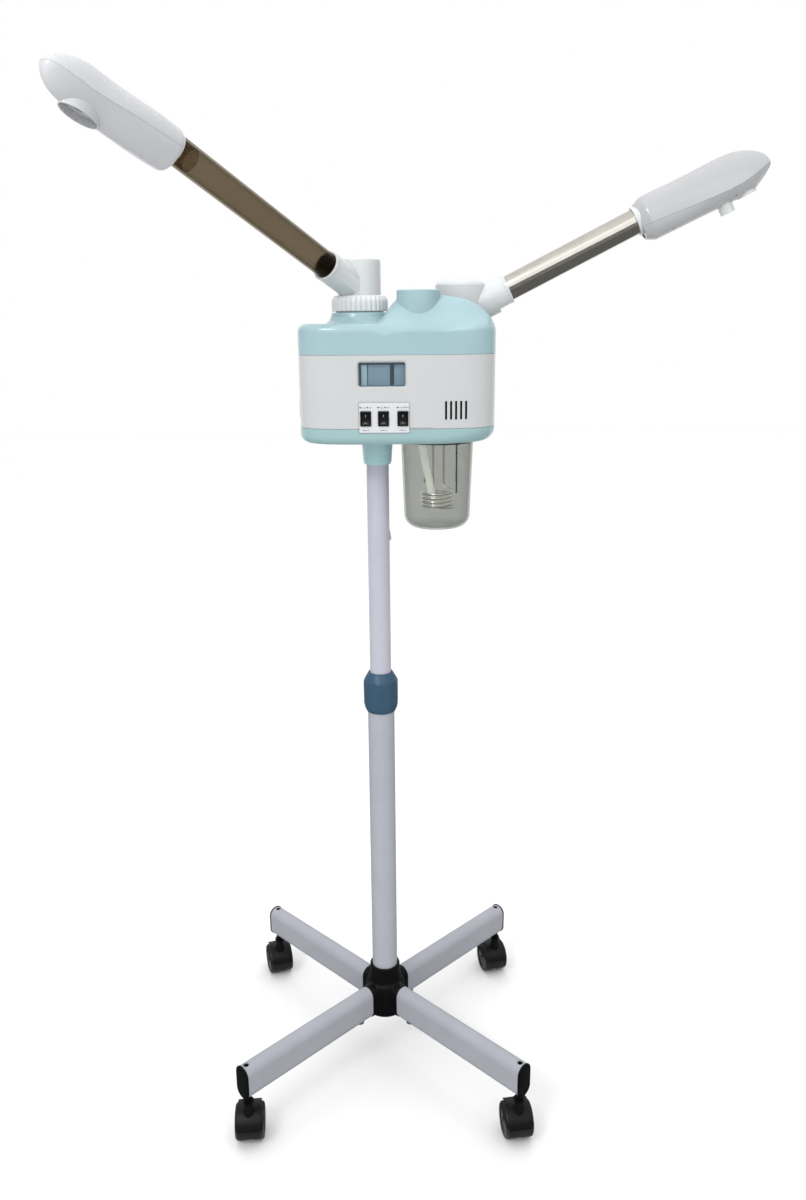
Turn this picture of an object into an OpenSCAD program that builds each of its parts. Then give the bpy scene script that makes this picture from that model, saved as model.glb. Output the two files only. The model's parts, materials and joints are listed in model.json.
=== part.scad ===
// Facial steamer: two-arm head unit on a height-adjustable pole with a four-leg castor base.
// Frame: millimetres, +Z up, -Y is the front. The origin is the pole axis at floor level.

/* [Base] */
// Outer width of a flat-oval leg tube
leg_w = 25; // [22:1:30]
// Outer height of a flat-oval leg tube
leg_h = 50; // [44:1:56]
// Height of the underside of the legs above the floor
leg_z = 80; // [78:1:90]
// Distance from the pole axis to the outer end of a leg tube
leg_reach = 274; // [240:1:320]
// Diameter of a castor wheel
wheel_d = 50; // [50:1:52]
// Overall width of a pair of castor wheels
wheel_w = 40; // [36:1:46]
// Distance from the swivel axis to the axle of a castor
castor_trail = 12; // [10:1:14]

/* [Pole] */
// Outer diameter of the lower pole
lower_d = 38; // [36:1:42]
// Outer diameter of the upper pole
upper_d = 30; // [28:1:31]
// Height of the top end of the lower pole
lower_top = 600; // [500:5:700]

/* [Head unit] */
// Width of the body
body_w = 257; // [250:1:270]
// Depth of the body
body_d = 180; // [170:1:200]
// Distance from the pole axis to the middle of the body
body_cx = 27.5; // [20:0.5:35]
// Height of the underside of the body
body_z = 968; // [900:1:1050]
// Squareness of the body outline
plan_n = 4.5; // [3:0.1:6]

/* [Boiling jar] */
// Distance from the pole axis to the jar axis
jar_x = 80; // [78:1:84]
// Diameter of the jar at its mouth
jar_d = 96; // [90:1:96]
// Diameter of the jar near its bottom
jar_low_d = 89; // [84:1:92]
// Depth of the jar below the body
jar_drop = 124; // [110:1:140]

/* [Arms] */
// Direction of the mist arm, counted from +X towards +Y
mist_az = 231; // [200:1:260]
// Upward slope of the mist arm
mist_el = 25.5; // [15:0.5:40]
// Direction of the steam arm, counted from +X towards +Y
steam_az = -4; // [-10:1:60]
// Upward slope of the steam arm
steam_el = 26.5; // [20:0.5:40]
// Outer diameter of the arm tubes
tube_d = 32; // [30:1:32]

/* [Hidden] */
$fn = 64;
e = 0.05;
corners = ["fl", "fr", "bl", "br"];
leg_az = [225, 315, 135, 45];
castor_yaw = [184, 188, 198, 196];

// base
leg_wall = 1.5;
leg_in = 38;
leg_mid_z = leg_z + leg_h / 2;
stem_r = leg_reach - 6;
stem_d = 10;
axle_d = 6;
wheel_gap = 7;
hood_r = wheel_d / 2 + 3.5;
hood_top = 68;
hub_r = 30;
hub_floor = 90;
hub_top = 158;
bolt_r = 54;

// pole
lower_in = lower_d / 2 - 1.5;
upper_bottom = 385;
upper_top = body_z + 17;
tab_z = 828;
nut_z = 578;
nut_h = 59;

// head unit levels
pan_top = body_z + 20;
band_top = pan_top + 90;
shoulder = band_top + 37;
wall = 3;
front = -body_d / 2;

// ports and neck
mist_x = -20;
mist_neck_r = 31;
steam_x = 110;
steam_y = 15;
steam_ring_r = 27;
neck_x = 55;
neck_y = -38;
neck_r = 27.5;
neck_hole = 20;
neck_top = 1155;
mist_port = 1155;
mist_top = 1193.5;
steam_port = 1126;
socket_out = 69;

// front face items
window = [9, 1054.5, 58, 29];
panel = [11.2, 1002.3, 63.4, 38];
switch_x = [-11.8, 10.3, 34.4];
switch_z = 1001.2;
switch_w = 13.8;
switch_h = 18.8;
slot_x = 100.5;
slot_z = 1010.5;

// jar and boiler
jar_bottom = body_z - jar_drop;
flange_z = body_z + 8;
coil_r = 21;
coil_wire = 4.2;
coil_z = 874;
coil_pitch = 5;
coil_turns = 4;

tube_r = tube_d / 2;
head_at = 321;
steam_head_at = 250;

// ---------- shared shapes ----------

// Flat-oval outline standing on its narrow end
module flat_oval(w, h) {
    square([w, h - w], center = true);
    for (side = [-1, 1])
        translate([0, side * (h - w) / 2])
            circle(d = w);
}

// Moves a shape whose outline is in X-Y and whose length is in Z onto a leg's direction
module along_leg(az, start) {
    rotate([0, 0, az])
        translate([start, 0, leg_mid_z])
            rotate([90, 0, 90])
                children();
}

module tube(r_out, r_in, h) {
    difference() {
        cylinder(r = r_out, h = h);
        translate([0, 0, -1])
            cylinder(r = r_in, h = h + 2);
    }
}

// Straight round rod between two points
module rod(from, to, r) {
    d = to - from;
    flat = norm([d[0], d[1]]);
    translate(from)
        rotate([0, atan2(flat, d[2]), atan2(d[1], d[0])])
            cylinder(r = r, h = norm(d));
}

module box(low, high) {
    translate(low)
        cube(high - low);
}

// Solid skin over a stack of equal loops of points, listed from bottom to top
module loft(loops) {
    n = len(loops[0]);
    last = (len(loops) - 1) * n;
    polyhedron(
        points = [for (loop = loops) each loop],
        faces = concat(
            [[for (i = [0:n - 1]) i]],
            [for (k = [0:len(loops) - 2], i = [0:n - 1])
                [k * n + i, (k + 1) * n + i, (k + 1) * n + (i + 1) % n, k * n + (i + 1) % n]],
            [[for (i = [n - 1:-1:0]) last + i]]
        )
    );
}

function signed_power(v, p) = sign(v) * pow(abs(v), p);

// Body outline: a superellipse, drawn inside the full size by the inset
function outline(inset, count = 72) = [
    for (i = [0:count - 1])
        let (t = 360 * (i + 0.5) / count)
        [
            body_cx + (body_w / 2 - inset) * signed_power(cos(t), 2 / plan_n),
            (body_d / 2 - inset) * signed_power(sin(t), 2 / plan_n)
        ]
];

function raise(loop, z) = [for (p = loop) [p[0], p[1], z]];

// Places a shape drawn along +X onto an arm: +X runs out along the tube, +Z is its upper side
module on_arm(x, y, z, az, el) {
    translate([x, y, z])
        rotate([0, 0, az])
            rotate([0, -el, 0])
                children();
}

module on_mist_arm() {
    on_arm(mist_x, 0, mist_port, mist_az, mist_el)
        children();
}

module on_steam_arm() {
    on_arm(steam_x, steam_y, steam_port, steam_az, steam_el)
        children();
}

// Turns a shape that stands along Z so that it lies along the arm's +X
module lie(start = 0) {
    translate([start, 0, 0])
        rotate([0, 90, 0])
            children();
}

// ---------- base ----------

module hub() {
    color("#1b1a1f")
        difference() {
            union() {
                rotate_extrude()
                    polygon([
                        [0, leg_z - 2], [hub_r, leg_z - 2], [hub_r, 120], [hub_r - 2, 128],
                        [24.5, 133], [23.5, 140], [22, hub_top], [0, hub_top]
                    ]);
                for (az = leg_az) {
                    along_leg(az, 0)
                        linear_extrude(leg_in)
                            flat_oval(leg_w + 2.5, leg_h + 3);
                    along_leg(az, leg_in - 1)
                        linear_extrude(32)
                            flat_oval(leg_w - 2 * leg_wall - 0.4, leg_h - 2 * leg_wall - 0.4);
                }
            }
            translate([0, 0, hub_floor])
                cylinder(r = lower_d / 2 + e, h = hub_top);
            for (az = leg_az)
                rotate([0, 0, az])
                    translate([bolt_r, 0, leg_z])
                        cylinder(r = 3 + e, h = 26);
        }
}

module leg(az) {
    color("#c0c0cc")
        difference() {
            along_leg(az, leg_in)
                linear_extrude(leg_reach - leg_in)
                    difference() {
                        flat_oval(leg_w, leg_h);
                        flat_oval(leg_w - 2 * leg_wall, leg_h - 2 * leg_wall);
                    }
            rotate([0, 0, az]) {
                translate([bolt_r, 0, leg_z - 1])
                    cylinder(r = 3.2, h = 10);
                translate([stem_r, 0, leg_z - 1])
                    cylinder(r = stem_d / 2 + 0.4, h = 20);
                translate([stem_r, 0, leg_z + leg_h - 10])
                    cylinder(r = 4, h = 20);
            }
        }
}

module leg_end_caps() {
    color("#1b1a1f")
        for (az = leg_az)
            difference() {
                union() {
                    along_leg(az, leg_reach)
                        translate([0, -0.5, 0])
                            linear_extrude(3)
                                flat_oval(leg_w + 2, leg_h + 3);
                    along_leg(az, leg_reach - 20)
                        linear_extrude(21)
                            flat_oval(leg_w - 2 * leg_wall - 0.4, leg_h - 2 * leg_wall - 0.4);
                }
                rotate([0, 0, az])
                    translate([stem_r, 0, 0])
                        cylinder(r = stem_d / 2 + e, h = 200);
            }
}

module base_bolts() {
    color("silver")
        for (az = leg_az)
            rotate([0, 0, az])
                translate([bolt_r, 0, leg_z]) {
                    cylinder(r = 3, h = 24);
                    translate([0, 0, -4])
                        difference() {
                            cylinder(r = 5.5, h = 4);
                            translate([0, 0, -1])
                                cylinder(r = 2.9, h = 3, $fn = 6);
                        }
                }
}

// ---------- castors ----------

// Castor frame: origin under the swivel axis, the axle lies along X at castor_trail towards -Y
module at_castor(i) {
    rotate([0, 0, leg_az[i]])
        translate([stem_r, 0, 0])
            rotate([0, 0, castor_yaw[i] - leg_az[i]])
                children();
}

module at_axle() {
    translate([0, -castor_trail, wheel_d / 2])
        rotate([0, 90, 0])
            children();
}

module caster_stems() {
    color("#b8b8bc")
        for (i = [0:3])
            at_castor(i)
                translate([0, 0, hood_top - 16])
                    union() {
                        cylinder(r = stem_d / 2, h = leg_z + leg_h - 10 - hood_top + 16);
                        translate([0, 0, 16.4])
                            cylinder(r = 8, h = 2.5);
                    }
}

// Crescent over the wheels, the web between them and the neck that swivels on the stem
module caster_hood(i) {
    web = wheel_gap / 2 - 0.5;
    color("#1d1d20")
        at_castor(i)
            difference() {
                union() {
                    at_axle()
                        intersection() {
                            cylinder(r = hood_r, h = wheel_w - 6, center = true);
                            linear_extrude(60, center = true)
                                polygon([[0, 0], [40, 50], [-50, 50], [-50, -6], [-20, -6]]);
                        }
                    at_axle()
                        cylinder(r = 12, h = 2 * web, center = true);
                    translate([0, 0, 26])
                        cylinder(r = 9, h = hood_top - 26);
                }
                at_axle()
                    cylinder(r = axle_d / 2 + e, h = 40, center = true);
                translate([0, 0, hood_top - 16.3])
                    cylinder(r = stem_d / 2 + e, h = 40);
                for (side = [0, 1])
                    at_axle()
                        mirror([0, 0, side])
                            translate([0, 0, web])
                                cylinder(r = wheel_d / 2 + 1, h = 30);
            }
}

module caster_axle(i) {
    color("silver")
        at_castor(i)
            at_axle()
                translate([0, 0, -wheel_w / 2 + 3])
                    cylinder(r = axle_d / 2, h = wheel_w - 6);
}

module caster_wheels(i) {
    rim = (wheel_w - wheel_gap) / 2;
    color("#353537")
        at_castor(i)
            at_axle()
                for (side = [0, 1])
                    mirror([0, 0, side])
                        translate([0, 0, wheel_gap / 2])
                            rotate_extrude()
                                polygon([
                                    [axle_d / 2 + e, 0], [wheel_d / 2, 0], [wheel_d / 2, rim - 3.5],
                                    [wheel_d / 2 - 1, rim - 1.2], [wheel_d / 2 - 3, rim],
                                    [17, rim], [15, rim - 2], [6, rim - 2], [5, rim - 1],
                                    [axle_d / 2 + e, rim - 1]
                                ]);
}

// ---------- pole ----------

module lower_pole() {
    color("#b1b5bd")
        translate([0, 0, hub_floor])
            tube(lower_d / 2, lower_in, lower_top - hub_floor);
}

// Split sleeve in the mouth of the lower pole, with a flange on its rim
module clamp_collet() {
    color("#d8d8d8")
        difference() {
            rotate_extrude()
                polygon([
                    [upper_d / 2 + e, lower_top - 45], [lower_in - e, lower_top - 45],
                    [lower_in - e, lower_top], [lower_d / 2, lower_top],
                    [lower_d / 2, lower_top + 6], [17.6, lower_top + 6],
                    [16.4, lower_top + 27], [upper_d / 2 + e, lower_top + 27]
                ]);
            box([-1, -30, lower_top + 9], [1, 0, lower_top + 40]);
        }
}

module clamp_nut() {
    color("#436073")
        difference() {
            intersection() {
                rotate_extrude()
                    polygon([
                        [0, nut_z], [20.2, nut_z], [23.2, nut_z + 6], [24.7, nut_z + 14],
                        [24.7, nut_z + nut_h - 13], [17.2, nut_z + nut_h], [0, nut_z + nut_h]
                    ]);
                rotate([0, 0, 11])
                    cylinder(r = 25.2, h = 700, $fn = 10);
            }
            translate([0, 0, nut_z - 1])
                cylinder(r = lower_d / 2 + 0.4, h = 30);
            translate([0, 0, nut_z + 28.9])
                cylinder(r1 = lower_d / 2 + 0.4, r2 = 16.9, h = 23.5);
            translate([0, 0, nut_z])
                cylinder(r = upper_d / 2 + 0.4, h = 100);
        }
}

// Inner tube with a pressed wedge that stops it at the clamp
module upper_pole() {
    color("#c3c4cf") {
        difference() {
            union() {
                translate([0, 0, upper_bottom])
                    cylinder(r = upper_d / 2, h = upper_top - upper_bottom);
                translate([upper_d / 2 - 1, 2, tab_z])
                    rotate([90, 0, 0])
                        linear_extrude(4)
                            polygon([[0, 0], [3.4, 0], [3.4, 4], [0, 21]]);
            }
            translate([0, 0, upper_bottom - 1])
                cylinder(r = upper_d / 2 - 1.5, h = upper_top - upper_bottom + 2);
        }
    }
}

module pole_socket() {
    color("#90afb4")
        difference() {
            rotate_extrude()
                polygon([
                    [0, body_z - 35], [18, body_z - 35], [18.6, body_z - 32], [21, body_z],
                    [21, body_z + wall], [26, body_z + wall], [26, body_z + wall + 4],
                    [22, body_z + wall + 4], [20, body_z + 24], [0, body_z + 24]
                ]);
            translate([0, 0, body_z - 40])
                cylinder(r = upper_d / 2 + e, h = upper_top - body_z + 40.3);
        }
}

// ---------- housing ----------

module bottom_pan() {
    round_r = 10;
    steps = 4;
    color("#a7c6c9")
        difference() {
            loft(concat(
                [for (k = [0:steps])
                    let (turn = 90 * k / steps)
                    raise(outline(round_r * (1 - sin(turn))), body_z + round_r * (1 - cos(turn)))],
                [raise(outline(0), pan_top)]
            ));
            translate([0, 0, body_z + round_r])
                linear_extrude(40)
                    polygon(outline(wall));
            translate([0, 0, body_z + wall])
                linear_extrude(40)
                    polygon(outline(round_r));
            cylinder(r = 21.2, h = 2000);
            translate([jar_x, 0, 0])
                cylinder(r = 53, h = 2000);
        }
}

// Rectangle on the front face: [middle X, middle Z, width, height]
module front_cut(item, depth = 20) {
    translate([item[0] - item[2] / 2, front - 5, item[1] - item[3] / 2])
        cube([item[2], depth, item[3]]);
}

module mid_shell() {
    color("#d3d5d6")
        difference() {
            translate([0, 0, pan_top])
                linear_extrude(band_top - pan_top)
                    difference() {
                        polygon(outline(0));
                        polygon(outline(wall));
                    }
            front_cut(window);
            for (x = switch_x)
                front_cut([x, switch_z, 12.6, 17.6]);
            for (k = [-2:2])
                front_cut([slot_x + 6.25 * k, slot_z, 2.7, 23]);
            box([body_cx - 14.5, 60, 996], [body_cx + 14.5, 120, 1024]);
        }
}

function plan_radius(x, y) = pow(
    pow(abs(x - body_cx) / (body_w / 2), plan_n) + pow(abs(y) / (body_d / 2), plan_n), 1 / plan_n
);
function smooth(v) = let (t = min(1, max(0, v))) t * t * (3 - 2 * t);
function bulge(depth, reach) = sqrt(1 - pow(1 - min(depth, reach) / reach, 2));

// X of the body's right side at a given depth
function right_side(y) = body_cx
    + body_w / 2 * pow(max(0, 1 - pow(abs(y) / (body_d / 2), plan_n)), 1 / plan_n);

// Rise of the hump above the shoulder, against the distance from the front face
hump = [
    [0, -26], [1, -20.5], [3, -15], [6, -9.5], [10, -4], [17, 3.8], [24.5, 11.5],
    [33, 20.5], [42, 29.2], [50, 33.6], [57, 34.5], [64, 34.5]
];

// Height of the cover's top face; near the outline it rolls over into the wall
function cover_height(x, y, s) =
    let (
        depth = (1 / max(s, 0.001) - 1) * norm([x - body_cx, y]),
        reach = max(0, y + body_d / 2),
        ridge_drop = 6.5 * smooth((x - 75) / 60) * smooth(reach / 40),
        rise = lookup(reach, hump) + 10 - 10 * bulge(reach, 10) - ridge_drop,
        left = pow(min(1, max(0, (x + 8) / 36)), 2),
        right = 1 - pow(1 - min(max(right_side(y) - x, 0), 45) / 45, 2),
        back = 1 - smooth((y + 33) / 20)
    )
    shoulder - 10 + 10 * bulge(depth, 10) + rise * left * right * back;

function cover_loop(s, inset, drop) = [
    for (p = outline(0, 60))
        let (
            x = body_cx + (p[0] - body_cx) * s,
            y = p[1] * s,
            kx = 1 - inset / (body_w / 2),
            ky = 1 - inset / (body_d / 2)
        )
        [body_cx + (x - body_cx) * kx, y * ky, cover_height(x, y, s) - drop]
];

cover_steps = [1, 0.985, 0.95, 0.9, 0.84, 0.78, 0.72, 0.66, 0.6, 0.54, 0.48, 0.42, 0.34, 0.26, 0.14];

module cover_solid(inset, drop, base) {
    loft(concat(
        [raise(outline(inset, 60), base)],
        [for (s = cover_steps) cover_loop(s, inset, drop)]
    ));
}

module top_cover() {
    color("#a8c8cd")
        difference() {
            union() {
                cover_solid(0, 0, band_top);
                translate([mist_x, 0, 0])
                    rotate_extrude()
                        polygon([
                            [30, 1100], [48, 1100], [48, shoulder - 3], [44.5, shoulder + 0.3],
                            [40.2, shoulder + 3.6], [37.8, shoulder + 8],
                            [36.6, shoulder + 13.5], [30, shoulder + 13.5]
                        ]);
                translate([neck_x, neck_y, 0])
                    rotate_extrude()
                        polygon([
                            [10, 1100], [neck_r, 1100], [neck_r, neck_top - 2],
                            [neck_r - 2, neck_top], [10, neck_top]
                        ]);
            }
            cover_solid(wall, wall, band_top - 10);
            translate([mist_x, 0, 0])
                cylinder(r = mist_neck_r + 1, h = 2000);
            translate([steam_x, steam_y, 0])
                cylinder(r = steam_ring_r + 1, h = 2000);
            translate([neck_x, neck_y, 0])
                cylinder(r = neck_hole, h = 2000);
        }
}

module window_lens() {
    color("#6e8594", 0.5)
        box(
            [window[0] - 32, front + 5.2, window[1] - 17.5],
            [window[0] + 32, front + 7.8, window[1] + 17.5]
        );
}

module control_panel() {
    color("#e6e8ea")
        difference() {
            box(
                [panel[0] - panel[2] / 2, front - 1, panel[1] - panel[3] / 2],
                [panel[0] + panel[2] / 2, front - e, panel[1] + panel[3] / 2]
            );
            for (x = switch_x)
                front_cut([x, switch_z, 12.6, 17.6]);
        }
}

module switch_frames() {
    color("#1a1a1c")
        for (x = switch_x)
            difference() {
                union() {
                    box(
                        [x - switch_w / 2, front - 2.6, switch_z - switch_h / 2],
                        [x + switch_w / 2, front - 1, switch_z + switch_h / 2]
                    );
                    box([x - 6.2, front - 1, switch_z - 8.6], [x + 6.2, front + 14, switch_z + 8.6]);
                }
                box([x - 4.7, front - 5, switch_z - 7.6], [x + 4.7, front + 10, switch_z + 7.6]);
                translate([x, front + 2, switch_z])
                    rotate([0, 90, 0])
                        cylinder(r = 1.2 + e, h = 11, center = true);
            }
}

// Rocker with its upper edge out; it turns about the pin along X
module rocker(i) {
    color("#232326")
        translate([switch_x[i] - 4.4, front + 2, switch_z])
            rotate([8, 0, 0]) {
                rotate([90, 0, 90])
                    linear_extrude(8.8)
                        polygon([[3, -5], [-4.6, -6.6], [-3.2, 0], [-4.6, 6.6], [3, 5]]);
                translate([-0.7, 0, 0])
                    rotate([0, 90, 0])
                        cylinder(r = 1.2, h = 10.2);
            }
}

// ---------- mist side, inside the housing ----------

tank_low = [-60, front + 8, 1030];
tank_high = [43, 30, 1104];

module mist_tank() {
    color("#c9d4da", 0.6)
        difference() {
            union() {
                box(tank_low, tank_high);
                translate([mist_x, 0, tank_high[2] - 1])
                    cylinder(r = mist_neck_r, h = 1138 - tank_high[2] + 1);
            }
            box(tank_low + [2, 2, 2], tank_high - [2, 2, 2]);
            translate([mist_x, 0, tank_high[2] - 5])
                cylinder(r = mist_neck_r - 3, h = 60);
            front_cut([window[0], window[1], 56, 27]);
            translate([-40, -20, 1020])
                cylinder(r = 10 + e, h = 13);
        }
}

module mist_transducer() {
    color("#b9a46a")
        translate([-40, -20, 1024])
            union() {
                cylinder(r = 10, h = 9);
                cylinder(r = 14, h = 5.9);
            }
}

module fan_frame() {
    color("#26262a")
        difference() {
            box([slot_x - 20, front + 10, slot_z - 20], [slot_x + 20, front + 20, slot_z + 20]);
            translate([slot_x, front + 9, slot_z])
                rotate([-90, 0, 0])
                    difference() {
                        cylinder(r = 18.6, h = 30);
                        translate([0, 0, 8.5])
                            union() {
                                cylinder(r = 9, h = 10);
                                for (turn = [0, 120, 240])
                                    rotate([0, 0, turn])
                                        translate([0, -1.5, 0])
                                            cube([25, 3, 10]);
                                translate([0, 0, -3])
                                    cylinder(r = 1.5, h = 5);
                            }
                    }
        }
}

module fan_rotor() {
    color("#303034")
        translate([slot_x, front + 10.6, slot_z])
            rotate([-90, 0, 0])
                difference() {
                    union() {
                        cylinder(r = 8.5, h = 6.3);
                        for (k = [0:6])
                            rotate([0, 0, 360 * k / 7])
                                translate([7, 0, 3.2])
                                    rotate([35, 0, 0])
                                        translate([0, -3.6, -0.6])
                                            cube([10.8, 7.2, 1.2]);
                    }
                    translate([0, 0, 3.5])
                        cylinder(r = 1.5 + e, h = 10);
                }
}

module transformer() {
    color("#6f6a60")
        union() {
            box([-82, 12, body_z + wall + e], [-42, 58, 1010]);
            box([-76, 6, body_z + 8], [-48, 64, 1004]);
            box([-70, 4, body_z + wall + e], [-54, 66, body_z + 8.5]);
        }
}

module circuit_board() {
    color("#2f6b45")
        union() {
            box([-84, -58, body_z + 12], [-28, -2, body_z + 13.6]);
            for (x = [-80, -32], y = [-54, -6])
                translate([x, y, body_z + wall + e])
                    cylinder(r = 3, h = 12);
            box([-80, -50, body_z + 13], [-66, -34, body_z + 30]);
            box([-60, -24, body_z + 13], [-40, -12, body_z + 26]);
            translate([-50, -42, body_z + 13])
                cylinder(r = 7, h = 20);
        }
}

module power_inlet() {
    color("#1a1a1c")
        difference() {
            union() {
                box([body_cx - 13.8, 72, 997], [body_cx + 13.8, 91, 1023]);
                box([body_cx - 24, 90 + e, 995], [body_cx + 24, 93, 1025]);
            }
            box([body_cx - 11.8, 76, 999.5], [body_cx + 11.8, 100, 1020.5]);
        }
    color("silver")
        for (x = [-7, 0, 7])
            box([body_cx + x - 1, 75, 1008], [body_cx + x + 1, 88, 1012]);
}

// ---------- boiler ----------

// Plate that closes the jar, with its skirt, the steam chimney and the ring of the steam port
module boiler_flange() {
    color("#d8dadb")
        difference() {
            union() {
                translate([jar_x, 0, flange_z])
                    cylinder(r = 56, h = 5);
                translate([jar_x, 0, body_z])
                    cylinder(r = 52.5, h = 9);
                translate([steam_x, steam_y, flange_z])
                    cylinder(r = 14, h = 1101 - flange_z);
                translate([steam_x, steam_y, 1098])
                    cylinder(r = steam_ring_r, h = 30);
            }
            translate([jar_x, 0, body_z - 1])
                cylinder(r = jar_d / 2 + 0.5, h = 9);
            translate([steam_x, steam_y, body_z])
                cylinder(r = 11, h = 300);
            translate([steam_x, steam_y, 1101])
                cylinder(r = steam_ring_r - 3, h = 40);
            translate([58, -30, body_z])
                cylinder(r = 6.3, h = 40);
        }
}

module jar_gasket() {
    color("#1c1c1f")
        translate([jar_x, 0, body_z - 5])
            tube(52, jar_d / 2 + 0.4, 5);
}

module glass_jar() {
    rim = flange_z - 0.4;
    thick = 2.5;
    corner = 17;
    dome = 3;
    r_top = jar_d / 2;
    r_low = jar_low_d / 2;
    mid = jar_bottom + corner + dome;
    color("#9c9d99", 0.45)
        translate([jar_x, 0, 0])
            rotate_extrude()
                polygon(concat(
                    [[0, jar_bottom]],
                    [for (turn = [0:10:90])
                        [r_low - corner + corner * sin(turn), mid - (corner + dome - 1) * cos(turn)]],
                    [[r_top, body_z - 12], [r_top, rim], [r_top - thick, rim],
                        [r_top - thick, body_z - 12]],
                    [for (turn = [90:-10:0])
                        [
                            r_low - corner + (corner - thick) * sin(turn),
                            mid - (corner + dome - 1 - thick) * cos(turn)
                        ]],
                    [[0, jar_bottom + thick]]
                ));
}

// Ring of points round a coil's wire at one place along its helix
function coil_section(k, steps) =
    let (turn = 360 * k / steps, z = coil_z + coil_pitch * k / steps)
    [for (i = [0:7])
        let (a = 45 * i, r = coil_r + coil_wire / 2 * cos(a))
        [jar_x + r * cos(turn), r * sin(turn), z - coil_wire / 2 * sin(a)]];

module heating_element() {
    steps = 14;
    wire_r = coil_wire / 2;
    coil_top = coil_z + coil_pitch * coil_turns;
    color("#b9b9b5")
        union() {
            loft([for (k = [0:steps * coil_turns]) coil_section(k, steps)]);
            rod([jar_x + coil_r, -1, coil_top], [jar_x + 8, 5, coil_top + 13], wire_r);
            rod([jar_x + 9, 4.5, coil_top + 11], [jar_x + 9, 4.5, flange_z], wire_r);
            rod([jar_x + coil_r + 1, 1, coil_z], [jar_x - 6, 5, coil_z - 1], wire_r);
            rod([jar_x - 5, 5, coil_z - 3], [jar_x - 5, 5, flange_z], wire_r);
        }
}

module filler_tube() {
    color("#d9d9d6")
        difference() {
            union() {
                translate([neck_x, neck_y, 1122])
                    cylinder(r = neck_hole - 0.4, h = 4);
                rod([58, -30, flange_z - 4], [58, -30, 1124], 6);
                rod([58, -30, flange_z - 2], [73, -7, 890], 5);
            }
            rod([58, -30, flange_z - 6], [58, -30, 1140], 3.5);
            rod([58, -30, flange_z - 2], [74, -5.5, 884], 3);
        }
}

module level_probes() {
    color("#6a6a68")
        for (p = [[106, -4, 893], [64, 14, 905]])
            rod(p, [p[0], p[1], flange_z], 1.2);
}

module filler_cap() {
    color("#a8c8cd")
        translate([neck_x, neck_y, 0])
            difference() {
                translate([0, 0, neck_top - 14])
                    cylinder(r = neck_hole - 0.4, h = 13.5);
                translate([0, 0, neck_top - 5])
                    difference() {
                        cylinder(r = 15, h = 10);
                        translate([-2, -20, 0])
                            cube([4, 40, 20]);
                    }
            }
}

// ---------- arms ----------

module mist_ring_nut() {
    ribs = 32;
    color("#d9ddde")
        translate([mist_x, 0, 1130])
            difference() {
                union() {
                    cylinder(r = 35.3, h = 19.5);
                    for (k = [0:ribs - 1])
                        rotate([0, 0, 360 * k / ribs])
                            translate([34.4, -1.2, 1])
                                cube([1.9, 2.4, 17.5]);
                }
                translate([0, 0, -1])
                    cylinder(r = mist_neck_r + 0.4, h = 15);
                cylinder(r = 27.9, h = 40);
                // countersink that clears the underside of the elbow's branch
                translate([0, 0, 16.6])
                    cylinder(r1 = 27.9, r2 = 34, h = 3.1);
            }
}

module mist_elbow() {
    color("#d7dbdd")
        difference() {
            union() {
                translate([mist_x, 0, 1138.3])
                    cylinder(r = 30.5, h = 5.3);
                translate([mist_x, 0, 1138.3])
                    cylinder(r = 27.5, h = mist_top - 1138.3);
                on_mist_arm()
                    lie(10)
                        cylinder(r = 19, h = socket_out - 10);
            }
            translate([mist_x, 0, 1130])
                cylinder(r = 24.5, h = mist_top - 1133);
            on_mist_arm()
                lie()
                    cylinder(r = 13, h = 60);
            on_mist_arm()
                lie(socket_out - 25)
                    cylinder(r = tube_r + e, h = 60);
        }
}

module mist_tube() {
    color("#6f6252", 0.6)
        on_mist_arm()
            lie(socket_out - 24.8)
                tube(tube_r, tube_r - 2, head_at - socket_out + 24.8 + 18);
}

module steam_elbow() {
    color("#d7dbdd")
        difference() {
            union() {
                translate([steam_x, steam_y, 0])
                    rotate_extrude()
                        polygon([
                            [0, 1119], [29.6, 1119], [30.2, 1129], [31.2, 1145], [32.4, 1162],
                            [31, 1164.8], [27, 1167.4], [17, 1171.2], [0, 1172]
                        ]);
                on_steam_arm()
                    lie(10)
                        cylinder(r = 18.5, h = socket_out - 9);
            }
            translate([steam_x, steam_y, 1100])
                cylinder(r = steam_ring_r + e, h = 30);
            translate([steam_x, steam_y, 1120])
                cylinder(r = 24, h = 44);
            on_steam_arm()
                lie()
                    cylinder(r = 13, h = 60);
            on_steam_arm()
                lie(socket_out - 24)
                    cylinder(r = tube_r + e, h = 60);
        }
}

module steam_tube() {
    color("#b9b9b5")
        on_steam_arm()
            lie(socket_out - 23.8)
                tube(tube_r, tube_r - 1.2, steam_head_at - socket_out + 23.8 + 18);
}

// ---------- nozzle heads ----------

// Outer form of each head, station by station from the tube end to the nose:
// [distance along the head, top, bottom, half width, height of the parting seam]
mist_form = [
    [0, 17.9, -24.9, 18.7, -5],
    [1, 18.5, -27.3, 21.1, -5.1],
    [2.5, 18.7, -28.5, 22.2, -5.2],
    [5.5, 18.9, -29.3, 22.9, -5.4],
    [12, 18.9, -29.9, 23.3, -5.9],
    [30, 18.6, -31.1, 23.6, -7.2],
    [60, 16.6, -32.6, 23.1, -9.5],
    [90, 15.6, -33.7, 22, -12.5],
    [107, 15.6, -33.8, 21.2, -13.5],
    [120, 13.4, -33.5, 19.9, -13.2],
    [131, 9.4, -32.2, 17.8, -12.3],
    [140, 4.4, -29.3, 15, -11.4],
    [146.5, -0.5, -24.6, 11.4, -10.8],
    [150.5, -4.9, -18.7, 7, -10.4],
    [152.2, -8.6, -13, 2.3, -10.3]
];
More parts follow.
